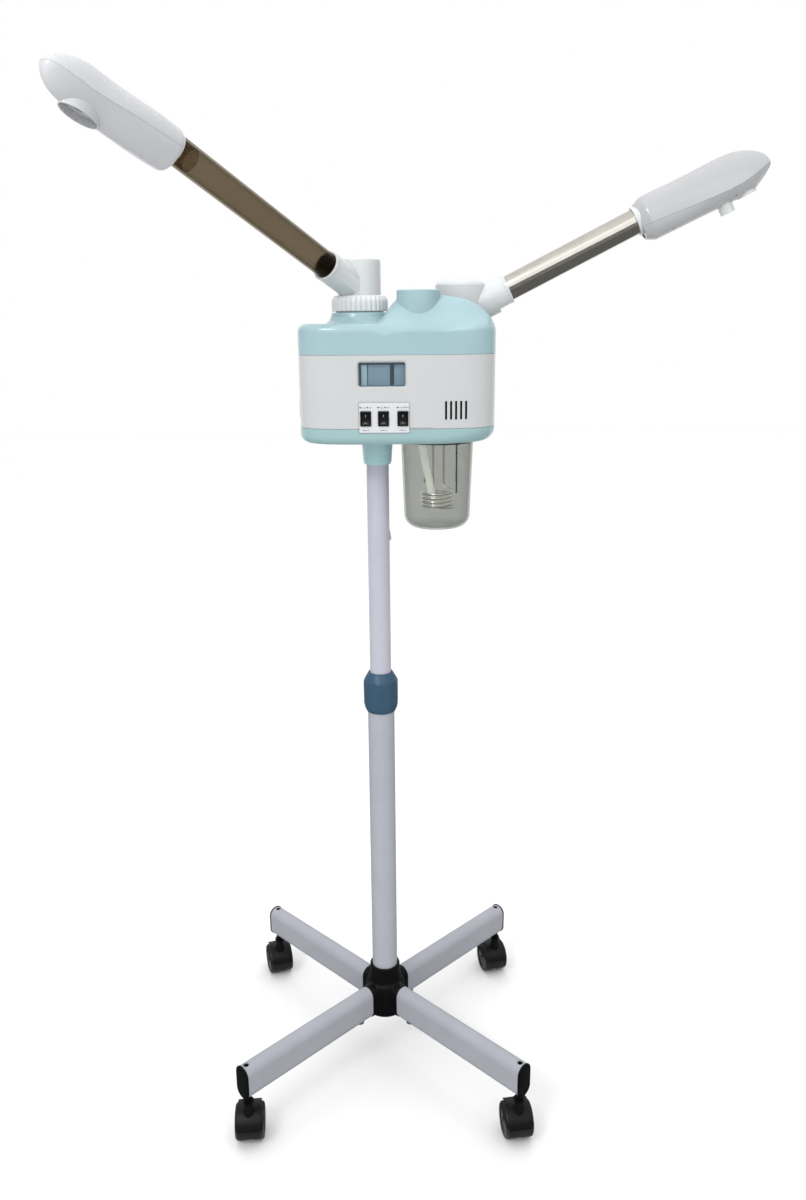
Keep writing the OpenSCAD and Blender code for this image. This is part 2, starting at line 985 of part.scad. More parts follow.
steam_form = [
    [0, 19, -25.6, 18.9, -10],
    [3, 20.6, -27.3, 20.7, -10.2],
    [6.5, 22.4, -29.2, 22.7, -10.5],
    [11.5, 24.6, -31.4, 25.1, -10.8],
    [30, 24.3, -31.7, 25.5, -12.2],
    [64, 22.8, -32.4, 25.3, -15.5],
    [94, 22.5, -33, 24.8, -18.1],
    [116, 22, -33.4, 24, -19],
    [128, 21, -33.6, 22.7, -18.6],
    [138, 18.7, -33.3, 20.8, -17.4],
    [148, 15.1, -28.9, 18, -15.5],
    [157, 10, -24, 13.7, -13.6],
    [164, 4.2, -19.2, 9.4, -12.2],
    [168.5, -1.8, -15.7, 5.5, -11.4],
    [170.8, -8.4, -12.3, 1.6, -11]
];
head_arc = 12;
head_skin = 2.5;

// Half section at one station: side is 1 for the upper half and -1 for the lower half.
// The inner skin ends a little before the nose.
function half_section(f, side, skin) =
    let (
        high = max(0.6, (side > 0 ? f[1] - f[4] : f[4] - f[2]) - skin),
        w = max(0.6, f[3] - skin),
        along = f[0] * (1 - skin / 100)
    )
    [for (j = [0:head_arc])
        let (a = 180 * j / head_arc)
        [along, w * cos(a), f[4] + side * (0.1 + high * sin(a))]];

module head_half(form, side) {
    n = head_arc + 1;
    m = len(form);
    inner = m * n;
    pts = concat(
        [for (f = form) each half_section(f, side, 0)],
        [for (f = form) each half_section(f, side, head_skin)]
    );
    quads = concat(
        [for (i = [0:m - 2], j = [0:head_arc - 1])
            [i * n + j, i * n + j + 1, (i + 1) * n + j + 1, (i + 1) * n + j]],
        [for (i = [0:m - 2], j = [0:head_arc - 1])
            [inner + i * n + j, inner + (i + 1) * n + j, inner + (i + 1) * n + j + 1,
                inner + i * n + j + 1]],
        [for (i = [0:m - 2])
            [i * n, (i + 1) * n, inner + (i + 1) * n, inner + i * n]],
        [for (i = [0:m - 2])
            [i * n + head_arc, inner + i * n + head_arc, inner + (i + 1) * n + head_arc,
                (i + 1) * n + head_arc]],
        [for (j = [0:head_arc - 1]) [j, inner + j, inner + j + 1, j + 1]],
        [[for (j = [0:head_arc]) (m - 1) * n + j]],
        [[for (j = [head_arc:-1:0]) inner + (m - 1) * n + j]],
        [[(m - 1) * n, (m - 1) * n + head_arc, inner + (m - 1) * n + head_arc,
            inner + (m - 1) * n]]
    );
    polyhedron(
        points = pts,
        faces = side < 0 ? quads : [for (f = quads) [for (k = [len(f) - 1:-1:0]) f[k]]]
    );
}

module head_collar(r) {
    color("#dfe2e3")
        lie(-4)
            tube(r, tube_r + e, 24);
}

// One half of a head, bored for its collar
module bored_half(form, side, r) {
    difference() {
        head_half(form, side);
        lie(-5)
            cylinder(r = r + e, h = 25);
    }
}

module at_mist_head() {
    on_mist_arm()
        translate([head_at, 0, 0])
            children();
}

module at_steam_head() {
    on_steam_arm()
        translate([steam_head_at, 0, 0])
            children();
}

mist_collar_r = 17.2;
steam_collar_r = 18.4;
mist_mouth = 104;
steam_mouth = 102.5;

// Upright cylinder stretched along the head
module oval_post(length, width, h) {
    scale([length / width, 1, 1])
        cylinder(d = width, h = h);
}

module mist_head_bottom() {
    color("#cfd0d3")
        at_mist_head()
            difference() {
                union() {
                    bored_half(mist_form, -1, mist_collar_r);
                    translate([mist_mouth, 0, -34.6])
                        oval_post(43.4, 28.4, 16);
                }
                translate([mist_mouth, 0, -50])
                    oval_post(39, 24, 18.5);
                translate([mist_mouth, 0, -50])
                    cylinder(r = 11.5, h = 45);
            }
}

module mist_head_top() {
    color("#cfd0d3")
        at_mist_head()
            bored_half(mist_form, 1, mist_collar_r);
}

module steam_head_top() {
    color("#cfd0d3")
        at_steam_head()
            bored_half(steam_form, 1, steam_collar_r);
}

module steam_head_bottom() {
    color("#cfd0d3")
        at_steam_head()
            difference() {
                bored_half(steam_form, -1, steam_collar_r);
                translate([steam_mouth, 0, -50])
                    cylinder(r = 9.1, h = 45);
            }
}

module steam_spout() {
    color("#e4e6e8")
        at_steam_head()
            translate([steam_mouth, 0, -43.5])
                difference() {
                    union() {
                        cylinder(r = 9, h = 18);
                        translate([0, 0, 15])
                            cylinder(r = 12, h = 3);
                    }
                    translate([0, 0, -1])
                        cylinder(r = 6.5, h = 30);
                }
}

// ---------- nodes ----------

hub();
leg(leg_az[0]);  // leg_fl
leg(leg_az[1]);  // leg_fr
leg(leg_az[2]);  // leg_bl
leg(leg_az[3]);  // leg_br
leg_end_caps();
base_bolts();
caster_stems();
caster_hood(0);  // caster_hood_fl
caster_hood(1);  // caster_hood_fr
caster_hood(2);  // caster_hood_bl
caster_hood(3);  // caster_hood_br
caster_axle(0);  // caster_axle_fl
caster_axle(1);  // caster_axle_fr
caster_axle(2);  // caster_axle_bl
caster_axle(3);  // caster_axle_br
caster_wheels(0);  // caster_wheels_fl
caster_wheels(1);  // caster_wheels_fr
caster_wheels(2);  // caster_wheels_bl
caster_wheels(3);  // caster_wheels_br
lower_pole();
clamp_collet();
clamp_nut();
upper_pole();
pole_socket();
bottom_pan();
mid_shell();
top_cover();
window_lens();
control_panel();
switch_frames();
rocker(0);  // rocker_1
rocker(1);  // rocker_2
rocker(2);  // rocker_3
mist_tank();
mist_transducer();
fan_frame();
fan_rotor();
transformer();
circuit_board();
power_inlet();
boiler_flange();
jar_gasket();
glass_jar();
heating_element();
filler_tube();
level_probes();
filler_cap();
mist_ring_nut();
mist_elbow();
mist_tube();
at_mist_head() head_collar(mist_collar_r);  // mist_head_collar
mist_head_top();
mist_head_bottom();
steam_elbow();
steam_tube();
at_steam_head() head_collar(steam_collar_r);  // steam_head_collar
steam_head_top();
steam_head_bottom();
steam_spout();
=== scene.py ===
"""Facial steamer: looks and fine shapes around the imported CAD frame. Shapes are in millimetres."""

import json
import math

import bmesh
import bpy
import numpy as np
from mathutils import Matrix, Vector

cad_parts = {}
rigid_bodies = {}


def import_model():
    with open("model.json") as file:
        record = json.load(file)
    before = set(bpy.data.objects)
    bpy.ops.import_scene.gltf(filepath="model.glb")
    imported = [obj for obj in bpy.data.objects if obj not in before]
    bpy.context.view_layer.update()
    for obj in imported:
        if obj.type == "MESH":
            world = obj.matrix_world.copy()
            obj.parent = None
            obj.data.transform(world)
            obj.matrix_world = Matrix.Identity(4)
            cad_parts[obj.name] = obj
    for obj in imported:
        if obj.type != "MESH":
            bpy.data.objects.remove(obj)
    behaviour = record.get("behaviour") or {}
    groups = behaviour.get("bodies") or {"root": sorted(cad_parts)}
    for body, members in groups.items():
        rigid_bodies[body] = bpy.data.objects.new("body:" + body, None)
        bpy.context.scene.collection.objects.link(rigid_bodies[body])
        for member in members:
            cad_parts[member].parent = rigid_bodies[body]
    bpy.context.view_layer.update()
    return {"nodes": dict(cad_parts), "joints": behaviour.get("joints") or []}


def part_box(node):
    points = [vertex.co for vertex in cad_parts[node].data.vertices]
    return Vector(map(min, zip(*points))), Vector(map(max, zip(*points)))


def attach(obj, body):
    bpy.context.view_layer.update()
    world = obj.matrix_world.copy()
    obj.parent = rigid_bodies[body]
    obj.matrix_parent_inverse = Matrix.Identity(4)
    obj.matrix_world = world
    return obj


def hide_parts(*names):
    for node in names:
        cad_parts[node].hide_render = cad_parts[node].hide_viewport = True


for leftover in list(bpy.data.objects):
    bpy.data.objects.remove(leftover)

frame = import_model()
MM = 0.001


# ---------------------------------------------------------------- places taken from the frame

def node_box(node):
    """Lowest and highest corner of a CAD node, in millimetres."""
    low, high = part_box(node)
    return np.array(low) / MM, np.array(high) / MM


def middle(node):
    low, high = node_box(node)
    return (low + high) / 2


def joint(name):
    return next(j for j in frame["joints"] if j["name"] == name)


def arm_frame(name):
    """Matrix whose X runs out along the arm tube and whose Z is its upper side, at the joint's place."""
    j = joint(name)
    x = Vector(j["axis"]).normalized()
    y = Vector((0, 0, 1)).cross(x).normalized()
    z = x.cross(y)
    m = Matrix((x, y, z)).transposed().to_4x4()
    m.translation = Vector(j["pos_m"])
    return m


# ---------------------------------------------------------------- mesh tools

def make(name, verts, faces, place=None, sharp=35):
    """A mesh object from millimetre points, smooth but for edges sharper than the angle."""
    mesh = bpy.data.meshes.new(name)
    mesh.from_pydata([tuple(float(c) * MM for c in v) for v in verts], [], [tuple(f) for f in faces])
    if place is not None:
        mesh.transform(place)
    obj = bpy.data.objects.new(name, mesh)
    bpy.context.scene.collection.objects.link(obj)
    tidy(obj, sharp)
    return obj


def tidy(obj, sharp=35):
    """Merges doubles, points the normals outward and sets the shading."""
    bm = bmesh.new()
    bm.from_mesh(obj.data)
    bmesh.ops.remove_doubles(bm, verts=bm.verts, dist=2e-6)
    bmesh.ops.dissolve_degenerate(bm, edges=bm.edges, dist=1e-6)
    bmesh.ops.recalc_face_normals(bm, faces=bm.faces)
    bm.to_mesh(obj.data)
    bm.free()
    obj.data.validate()
    for poly in obj.data.polygons:
        poly.use_smooth = True
    obj.data.set_sharp_from_angle(angle=math.radians(sharp))


def apply_modifiers(obj):
    bpy.context.view_layer.update()
    graph = bpy.context.evaluated_depsgraph_get()
    mesh = bpy.data.meshes.new_from_object(obj.evaluated_get(graph))
    old = obj.data
    obj.modifiers.clear()
    obj.data = mesh
    bpy.data.meshes.remove(old)


def boolean(obj, cutter, operation="DIFFERENCE", sharp=35):
    mod = obj.modifiers.new("cut", "BOOLEAN")
    mod.object = cutter
    mod.operation = operation
    mod.solver = "EXACT"
    apply_modifiers(obj)
    bpy.data.objects.remove(cutter)
    tidy(obj, sharp)
    return obj


def bevel(obj, width, segments=3, angle=35, sharp=35):
    mod = obj.modifiers.new("bevel", "BEVEL")
    mod.width = width * MM
    mod.segments = segments
    mod.limit_method = "ANGLE"
    mod.angle_limit = math.radians(angle)
    mod.harden_normals = False
    apply_modifiers(obj)
    tidy(obj, sharp)
    return obj


def flatten(obj):
    """Lets the large faces set the shading, so that small edges leave no streaks in it."""
    mod = obj.modifiers.new("normals", "WEIGHTED_NORMAL")
    mod.weight = 100
    mod.keep_sharp = True
    apply_modifiers(obj)
    return obj


def remesh(obj, voxel, relax):
    """Turns overlapping solids into one skin with soft inner corners."""
    mod = obj.modifiers.new("skin", "REMESH")
    mod.mode = "VOXEL"
    mod.voxel_size = voxel * MM
    mod = obj.modifiers.new("relax", "SMOOTH")
    mod.factor = 0.5
    mod.iterations = relax
    apply_modifiers(obj)
    tidy(obj, 180)
    return obj


def join(objs, name):
    """Joins several objects into one mesh object."""
    bm = bmesh.new()
    for o in objs:
        bm.from_mesh(o.data)
    mesh = bpy.data.meshes.new(name)
    bm.to_mesh(mesh)
    bm.free()
    for o in objs:
        bpy.data.objects.remove(o)
    obj = bpy.data.objects.new(name, mesh)
    bpy.context.scene.collection.objects.link(obj)
    return obj


def loft(name, loops, place=None, tube=False, sharp=35):
    """Skin over equal loops of points. tube joins the last loop back to the first."""
    n = len(loops[0])
    count = len(loops)
    faces = []
    for k in range(count if tube else count - 1):
        a, b = k * n, ((k + 1) % count) * n
        for i in range(n):
            j = (i + 1) % n
            faces.append((a + i, a + j, b + j, b + i))
    if not tube:
        faces.append(tuple(range(n - 1, -1, -1)))
        faces.append(tuple((count - 1) * n + i for i in range(n)))
    return make(name, [p for loop in loops for p in loop], faces, place, sharp)


def round_corners(points, radius, steps=4):
    """A closed outline with each corner turned into an arc."""
    out = []
    count = len(points)
    for i, p in enumerate(points):
        p = np.array(p, float)
        a = np.array(points[i - 1], float) - p
        b = np.array(points[(i + 1) % count], float) - p
        la, lb = np.linalg.norm(a), np.linalg.norm(b)
        if radius <= 0 or la < 1e-6 or lb < 1e-6:
            out.append(tuple(p))
            continue
        a, b = a / la, b / lb
        half = math.acos(max(-1, min(1, float(a @ b)))) / 2
        if half > math.radians(88):
            out.append(tuple(p))
            continue
        back = min(radius / math.tan(half), 0.48 * la, 0.48 * lb)
        for k in range(steps + 1):
            t = k / steps
            q = (1 - t) ** 2 * (p + a * back) + 2 * t * (1 - t) * p + t ** 2 * (p + b * back)
            out.append(tuple(q))
    return out


def ellipse(centre, a, b, z, count=96):
    """Points of a level ellipse."""
    return [(centre[0] + a * math.cos(2 * math.pi * i / count),
             centre[1] + b * math.sin(2 * math.pi * i / count), z)
            for i in range(count)]


def revolve(name, profile, centre=(0, 0), radius=0.6, segments=128, place=None, sharp=35, steps=4):
    """Closed (r, z) outline turned round a vertical axis, or round Z of the place matrix."""
    points = [(max(r, 0.0), z) for r, z in round_corners(profile, radius, steps)]
    return loft(name, [ellipse(centre, r, r, z, segments) for r, z in points], place, tube=True, sharp=sharp)


def block(name, low, high, edge=0.0, segments=3, place=None):
    """Box between two corners with rounded edges."""
    (x0, y0, z0), (x1, y1, z1) = low, high
    verts = [(x, y, z) for z in (z0, z1) for y in (y0, y1) for x in (x0, x1)]
    faces = [(0, 2, 3, 1), (4, 5, 7, 6), (0, 1, 5, 4), (2, 6, 7, 3), (0, 4, 6, 2), (1, 3, 7, 5)]
    obj = make(name, verts, faces, place)
    if edge:
        bevel(obj, edge, segments)
    return obj


def cylinder(name, radius, start, end, segments=96, place=None):
    """Plain capped cylinder between two points."""
    start, end = Vector(start), Vector(end)
    turn = Vector((0, 0, 1)).rotation_difference(end - start)
    ring = [turn @ Vector(p) for p in ellipse((0, 0), radius, radius, 0, segments)]
    return loft(name, [[start + p for p in ring], [end + p for p in ring]], place)


def sweep(name, path, radius, sides):
    """Round wire along a path, with a frame carried from point to point."""
    pts = [Vector(p) for p in path]
    tangents = []
    for i in range(len(pts)):
        a, b = pts[max(i - 1, 0)], pts[min(i + 1, len(pts) - 1)]
        tangents.append((b - a).normalized())
    side = tangents[0].orthogonal().normalized()
    loops = []
    for p, t in zip(pts, tangents):
        side = (side - t * side.dot(t)).normalized()
        up = t.cross(side)
        loops.append([
            p + (side * math.cos(2 * math.pi * k / sides) + up * math.sin(2 * math.pi * k / sides)) * radius
            for k in range(sides)
        ])
    return loft(name, loops)


def smooth_path(points, per_span):
    """Catmull-Rom curve through the points."""
    pts = [np.array(p, float) for p in points]
    pts = [2 * pts[0] - pts[1]] + pts + [2 * pts[-1] - pts[-2]]
    out = []
    for i in range(1, len(pts) - 2):
        a, b, c, d = pts[i - 1:i + 3]
        for k in range(per_span):
            t = k / per_span
            out.append(0.5 * ((2 * b) + (c - a) * t + (2 * a - 5 * b + 4 * c - d) * t * t
                              + (3 * b - a - 3 * c + d) * t ** 3))
    out.append(pts[-2])
    return out


# ---------------------------------------------------------------- materials

def clear_tint(code):
    """Linear colour of an sRGB hex code."""
    parts = [int(code[i:i + 2], 16) / 255 for i in (1, 3, 5)]
    lin = [c / 12.92 if c <= 0.04045 else ((c + 0.055) / 1.055) ** 2.4 for c in parts]
    return (*lin, 1.0)


def colour(code):
    """Body colour that shows as the sRGB hex code under the studio light."""
    return shade(clear_tint(code), 0.76)


def shade(rgba, factor):
    return (*(min(1.0, c * factor) for c in rgba[:3]), 1.0)


class Look:
    """A Principled material with object-space noise for colour, roughness and relief."""

    def __init__(self, name, **inputs):
        self.mat = bpy.data.materials.new(name)
        self.mat.use_nodes = True
        self.nodes = self.mat.node_tree.nodes
        self.links = self.mat.node_tree.links
        self.shader = self.nodes["Principled BSDF"]
        for key, value in inputs.items():
            self.shader.inputs[key.replace("_", " ")].default_value = value
        self.coords = self.nodes.new("ShaderNodeTexCoord").outputs["Object"]
        self.relief = None

    def noise(self, scale, detail=3.0, rough=0.55, stretch=None):
        source = self.coords
        if stretch:
            mapping = self.nodes.new("ShaderNodeMapping")
            mapping.inputs["Scale"].default_value = stretch
            self.links.new(source, mapping.inputs["Vector"])
            source = mapping.outputs["Vector"]
        node = self.nodes.new("ShaderNodeTexNoise")
        node.inputs["Scale"].default_value = scale
        node.inputs["Detail"].default_value = detail
        node.inputs["Roughness"].default_value = rough
        self.links.new(source, node.inputs["Vector"])
        return node.outputs["Fac"]

    def ramp(self, fac, low, high):
        """Colour that runs from low to high over the middle of the noise."""
        node = self.nodes.new("ShaderNodeValToRGB")
        for stop, position, value in zip(node.color_ramp.elements, (0.35, 0.65), (low, high)):
            stop.position = position
            stop.color = value
        self.links.new(fac, node.inputs["Fac"])
        return node.outputs["Color"]

    def tint(self, fac, base, spread):
        """Base colour drifting a little either way with the noise."""
        out = self.ramp(fac, shade(base, 1 - spread), shade(base, 1 + spread))
        self.links.new(out, self.shader.inputs["Base Color"])

    def rough(self, fac, low, high):
        """Roughness that follows the noise between two values."""
        node = self.nodes.new("ShaderNodeMapRange")
        node.inputs["From Min"].default_value = 0.3
        node.inputs["From Max"].default_value = 0.7
        node.inputs["To Min"].default_value = low
        node.inputs["To Max"].default_value = high
        self.links.new(fac, node.inputs["Value"])
        self.links.new(node.outputs["Result"], self.shader.inputs["Roughness"])

    def bump(self, fac, strength, distance):
        node = self.nodes.new("ShaderNodeBump")
        node.inputs["Strength"].default_value = strength
        node.inputs["Distance"].default_value = distance * MM
        self.links.new(fac, node.inputs["Height"])
        if self.relief is not None:
            self.links.new(self.relief, node.inputs["Normal"])
        self.relief = node.outputs["Normal"]
        self.links.new(self.relief, self.shader.inputs["Normal"])


def gloss_plastic(name, base, rough, peel=0.05, spread=0.018, painted_glow=0.0):
    """Moulded gloss plastic: faint cloudiness, soft wipe marks and a trace of orange peel; painted_glow adds
    painted light in its own colour.
    """
    look = Look(name, IOR=1.5, Emission_Color=base, Emission_Strength=painted_glow)
    look.tint(look.noise(9, 4), base, spread)
    look.rough(look.noise(28, 5, 0.65, (1, 1, 2.5)), *rough)
    look.bump(look.noise(420, 2), peel, 0.08)
    return look.mat


def matte_plastic(name, base, rough, grain, spread=0.10, sheen=0.35):
    """Moulded plastic with a fine spark-eroded grain."""
    look = Look(name, IOR=1.4, Specular_IOR_Level=sheen)
    look.tint(look.noise(60, 5, 0.6), base, spread)
    look.rough(look.noise(35, 4), *rough)
    look.bump(look.noise(900, 3, 0.6), grain, 0.10)
    look.bump(look.noise(45, 2), 0.12, 0.25)
    return look.mat


def painted_metal(name, base):
    """Powder-coated tube: fine pebbled coat, soft sheen and faint rubbed streaks."""
    look = Look(name, IOR=1.42, Specular_IOR_Level=0.3)
    look.tint(look.noise(14, 5, 0.6), base, 0.03)
    look.rough(look.noise(50, 5, 0.7), 0.30, 0.42)
    look.bump(look.noise(1300, 2, 0.5), 0.16, 0.06)
    return look.mat


def bright_metal(name, base, rough, lines, stretch=(1, 1, 1), painted_glow=0.0):
    """Polished metal with hairline drawing marks and faint smears; painted_glow adds painted light in its own
    colour.
    """
    look = Look(name, Metallic=1.0, Emission_Color=base, Emission_Strength=painted_glow)
    look.tint(look.noise(20, 4), base, 0.05)
    look.rough(look.noise(40, 6, 0.7), *rough)
    look.bump(look.noise(900, 3, 0.6, stretch), lines, 0.02)
    return look.mat


def tinted_clear(name, veil, body, haze, edge):
    """Thin clear wall: tints what is behind it, glossier and denser towards its edges."""
    look = Look(name, IOR=1.46)
    look.tint(look.noise(12, 3), body, 0.05)
    look.rough(look.noise(30, 5, 0.7), 0.03, 0.09)
    clear = look.nodes.new("ShaderNodeBsdfTransparent")
    tone = look.ramp(look.noise(5, 2), shade(veil, 0.985), shade(veil, 1.015))
    look.links.new(tone, clear.inputs["Color"])
    facing = look.nodes.new("ShaderNodeLayerWeight")
    facing.inputs["Blend"].default_value = 0.5
    power = look.nodes.new("ShaderNodeMath")
    power.operation = "POWER"
    power.inputs[1].default_value = 3.0
    look.links.new(facing.outputs["Facing"], power.inputs[0])
    share = look.nodes.new("ShaderNodeMapRange")
    share.inputs["To Min"].default_value = haze
    share.inputs["To Max"].default_value = edge
    look.links.new(power.outputs["Value"], share.inputs["Value"])
    mix = look.nodes.new("ShaderNodeMixShader")
    look.links.new(share.outputs["Result"], mix.inputs["Fac"])
    look.links.new(clear.outputs["BSDF"], mix.inputs[1])
    look.links.new(look.shader.outputs["BSDF"], mix.inputs[2])
    look.links.new(mix.outputs["Shader"], look.nodes["Material Output"].inputs["Surface"])
    return look.mat


def soft_rubber(name, base, rough=(0.5, 0.65), painted_glow=0.0):
    """Moulded rubber or silicone with a dusty sheen; painted_glow adds painted light in its own colour."""
    look = Look(name, IOR=1.45, Sheen_Weight=0.15, Sheen_Roughness=0.5,
                Emission_Color=base, Emission_Strength=painted_glow)
    look.tint(look.noise(80, 4), base, 0.06)
    look.rough(look.noise(60, 4), *rough)
    look.bump(look.noise(700, 3), 0.18, 0.08)
    return look.mat


LOOKS = {
    "teal": gloss_plastic("teal_gloss", colour("#9cb9bf"), (0.12, 0.22)),
    "teal_low": gloss_plastic("teal_gloss_low", colour("#98b7b9"), (0.16, 0.26)),
    "teal_dark": gloss_plastic("teal_socket", colour("#a9d1d4"), (0.2, 0.32)),
    "white_shell": gloss_plastic("white_shell", colour("#c3c5c6"), (0.14, 0.22)),
    "white_part": gloss_plastic("white_part", colour("#cfd2d3"), (0.16, 0.26)),
    "nut": gloss_plastic("nut_white", colour("#dde0e1"), (0.2, 0.3)),
    "head": gloss_plastic("head_white", colour("#c8c9cc"), (0.12, 0.2)),
    # Darker copy of the head white for the right head: painted shade.
    "head_painted_shade": gloss_plastic("head_white_painted_shade", colour("#b2b3b5"), (0.12, 0.2)),
    "label": gloss_plastic("label_white", colour("#d2d4d7"), (0.3, 0.4), 0.02, 0.01),
    "label_line": gloss_plastic("label_line", colour("#6c7077"), (0.35, 0.45), 0.02, 0.02),
    "print_grey": gloss_plastic("print_grey", colour("#9a9ea1"), (0.3, 0.4), 0.02, 0.03),
    "sticker": gloss_plastic("sticker_orange", colour("#b8896d"), (0.3, 0.4), 0.02, 0.03),
    "black": matte_plastic("black_moulding", colour("#0a0a0c"), (0.4, 0.52), 0.16, sheen=0.16),
    "wheel": matte_plastic("wheel_black", colour("#17171a"), (0.36, 0.5), 0.14),
    "hood": matte_plastic("hood_black", colour("#0f0f11"), (0.36, 0.5), 0.14, sheen=0.25),
    "switch": gloss_plastic("switch_black", colour("#0c0c0e"), (0.22, 0.34), 0.08, 0.08),
    "mark": gloss_plastic("switch_mark", colour("#9d9ea1"), (0.3, 0.4), 0.02, 0.03),
    "slate": matte_plastic("slate_grip", colour("#335269"), (0.34, 0.46), 0.12, 0.05),
    "silver": painted_metal("silver_coat", colour("#b9bac6")),
    "silver_low": painted_metal("silver_coat_low", colour("#a8abb3")),
    "silver_leg": painted_metal("silver_coat_leg", colour("#a3a5ad")),
    "steel": bright_metal("plain_steel", colour("#b4b5b8"), (0.22, 0.36), 0.2, (1, 1, 6)),
    "chrome": bright_metal("tube_chrome", clear_tint("#bcbab2"), (0.05, 0.09), 0.004),
    # The heater coil glows at 0.22: painted light that lifts it inside the jar.
    "coil": bright_metal("coil_chrome_painted_glow", clear_tint("#e6e5e0"), (0.08, 0.16), 0.05, painted_glow=0.22),
    "brass": bright_metal("disc_brass", colour("#b9a46a"), (0.2, 0.3), 0.1),
    "smoke": tinted_clear("smoked_tube", clear_tint("#d1cbc1"), colour("#5c5243"), haze=0.03, edge=0.8),
    "sleeve": tinted_clear("inner_sleeve", clear_tint("#e6e1da"), colour("#5c5243"), haze=0.03, edge=0.5),
    "jar": tinted_clear("jar_glass", clear_tint("#e4e5e3"), colour("#8f908c"), haze=0.02, edge=0.5),
    "lens": tinted_clear("window_lens", clear_tint("#e3e9ec"), colour("#7f8c93"), haze=0.03, edge=0.4),
    # The tank looks are one blue-grey plastic in plain, mid and lit copies that glow at 0.24, 0.34 and 0.5:
    # painted light for the tank seen through the window.
    "tank": gloss_plastic("tank_blue_grey_painted_glow", colour("#93a3ac"), (0.3, 0.4), 0.05, 0.04, painted_glow=0.24),
    "tank_painted_mid_light": gloss_plastic("tank_blue_painted_mid_light", colour("#a6b5bd"), (0.3, 0.4), 0.05, 0.04, painted_glow=0.34),
    "tank_painted_light": gloss_plastic("tank_blue_painted_light", colour("#c2d2d6"), (0.3, 0.4), 0.05, 0.04, painted_glow=0.5),
    # The silicone glows at 0.7: painted light that lifts the hose inside the jar.
    "silicone": soft_rubber("silicone_hose_painted_glow", colour("#eeeee8"), (0.35, 0.5), 0.7),
    "gasket": soft_rubber("black_gasket", colour("#0e0e10")),
    "green": matte_plastic("board_green", colour("#2f6b45"), (0.3, 0.45), 0.1),
    "core": matte_plastic("core_steel", colour("#6f6a60"), (0.35, 0.5), 0.2),
}


# ---------------------------------------------------------------- finishing a piece

def piece(obj, look, body, slot, *nodes):
    """Gives a new piece its material and its body, and hides the CAD nodes it stands for. The slot is not
    used.
    """
    obj.data.materials.clear()
    obj.data.materials.append(LOOKS[look])
    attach(obj, body)
    if nodes:
        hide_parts(*nodes)
    return obj


def dress(look, *nodes):
    """Gives CAD nodes that stay a detailed material."""
    for node in nodes:
        obj = frame["nodes"][node]
        if not obj.data.materials:
            obj.data.materials.append(LOOKS[look])
        for slot in obj.material_slots:
            slot.material = LOOKS[look]


# ---------------------------------------------------------------- levels and centres

shell_low, shell_high = node_box("mid_shell")
BODY_X = (shell_low[0] + shell_high[0]) / 2
HALF_W = (shell_high[0] - shell_low[0]) / 2 - 2.5
HALF_D = (shell_high[1] - shell_low[1]) / 2
PAN_TOP = shell_low[2]
BAND_TOP = shell_high[2]
BODY_Z = node_box("bottom_pan")[0][2]
SHOULDER = BAND_TOP + 37
FRONT = -HALF_D
SQUARE = 4.5
WALL = 3.0

MIST_X, MIST_Y = (c / MM for c in joint("mist_arm_swivel")["pos_m"][:2])
STEAM_X, STEAM_Y = (c / MM for c in joint("steam_arm_swivel")["pos_m"][:2])
NECK_X, NECK_Y = middle("filler_cap")[:2]
JAR_X, JAR_Y = middle("glass_jar")[:2]
MIST = arm_frame("mist_head_roll")
STEAM = arm_frame("steam_head_roll")
ALONG = Matrix.Rotation(math.pi / 2, 4, "Y")  # turns Z onto a tube's own axis
MIST_ROOT = 321.0
STEAM_ROOT = 250.0

# Front items: middle across and up, width, height
WINDOW = (9.0, 1054.5, 58.0, 29.0)
PANEL = (11.2, 1002.3, 63.4, 38.0)
SWITCH_X = [round(float(middle(f"rocker_{k}")[0]), 2) for k in (1, 2, 3)]
SWITCH_Z = 1001.2
SLOT = (float(middle("fan_frame")[0]), float(middle("fan_frame")[2]))
PAN_SCREWS = [(-78, -60), (-78, 60), (-12, -70), (22, 72), (114, -58), (114, 58)]


def smooth(v):
    t = min(1.0, max(0.0, v))
    return t * t * (3 - 2 * t)


def bulge(depth, reach):
    return math.sqrt(max(0.0, 1 - (1 - min(max(depth, 0.0), reach) / reach) ** 2))


def signed_power(v, p):
    return math.copysign(abs(v) ** p, v)


def outline(inset=0.0, count=240):
    """Superellipse of the housing, with points crowded into its corners."""
    pts = []
    for i in range(count):
        t = 2 * math.pi * (i + 0.5) / count
        pts.append((
            BODY_X + (HALF_W - inset) * signed_power(math.cos(t), 2 / SQUARE),
            (HALF_D - inset) * signed_power(math.sin(t), 2 / SQUARE),
        ))
    return pts


def raise_to(loop, z):
    return [(x, y, z) for x, y in loop]


def levels(*steps):
    """Loops of the housing's outline, one for each inset and height."""
    return [raise_to(outline(inset), z) for inset, z in steps]


# ---------------------------------------------------------------- housing

# Height of the hump above the shoulder, by distance from the front edge
HUMP_REACH = (0, 1, 3, 6, 10, 17, 24.5, 33, 42, 50, 57, 64)
HUMP_RISE = (-26, -20.5, -15, -9.5, -4, 3.8, 11.5, 20.5, 29.2, 33.6, 34.5, 34.5)


def cover_height(x, y, edge):
    """Top face of the cover: rolled edge, and the hump that carries the filler neck."""
    low = SHOULDER - 10 + 10 * bulge(edge, 10)
    reach = y + HALF_D
    rise = float(np.interp(reach, HUMP_REACH, HUMP_RISE)) + 10 - 10 * bulge(reach, 10)
    rise -= 6.5 * smooth((x - 75) / 60) * smooth(reach / 40)
    right = BODY_X + HALF_W * max(0.0, 1 - abs(y / HALF_D) ** SQUARE) ** (1 / SQUARE)
    side = 1 - (1 - min(max(right - x, 0.0), 45) / 45) ** 2
    left = min(1.0, max(0.0, (x + 8) / 36)) ** 2
    back = 1 - smooth((y + 33) / 20)
    return low + rise * left * side * back


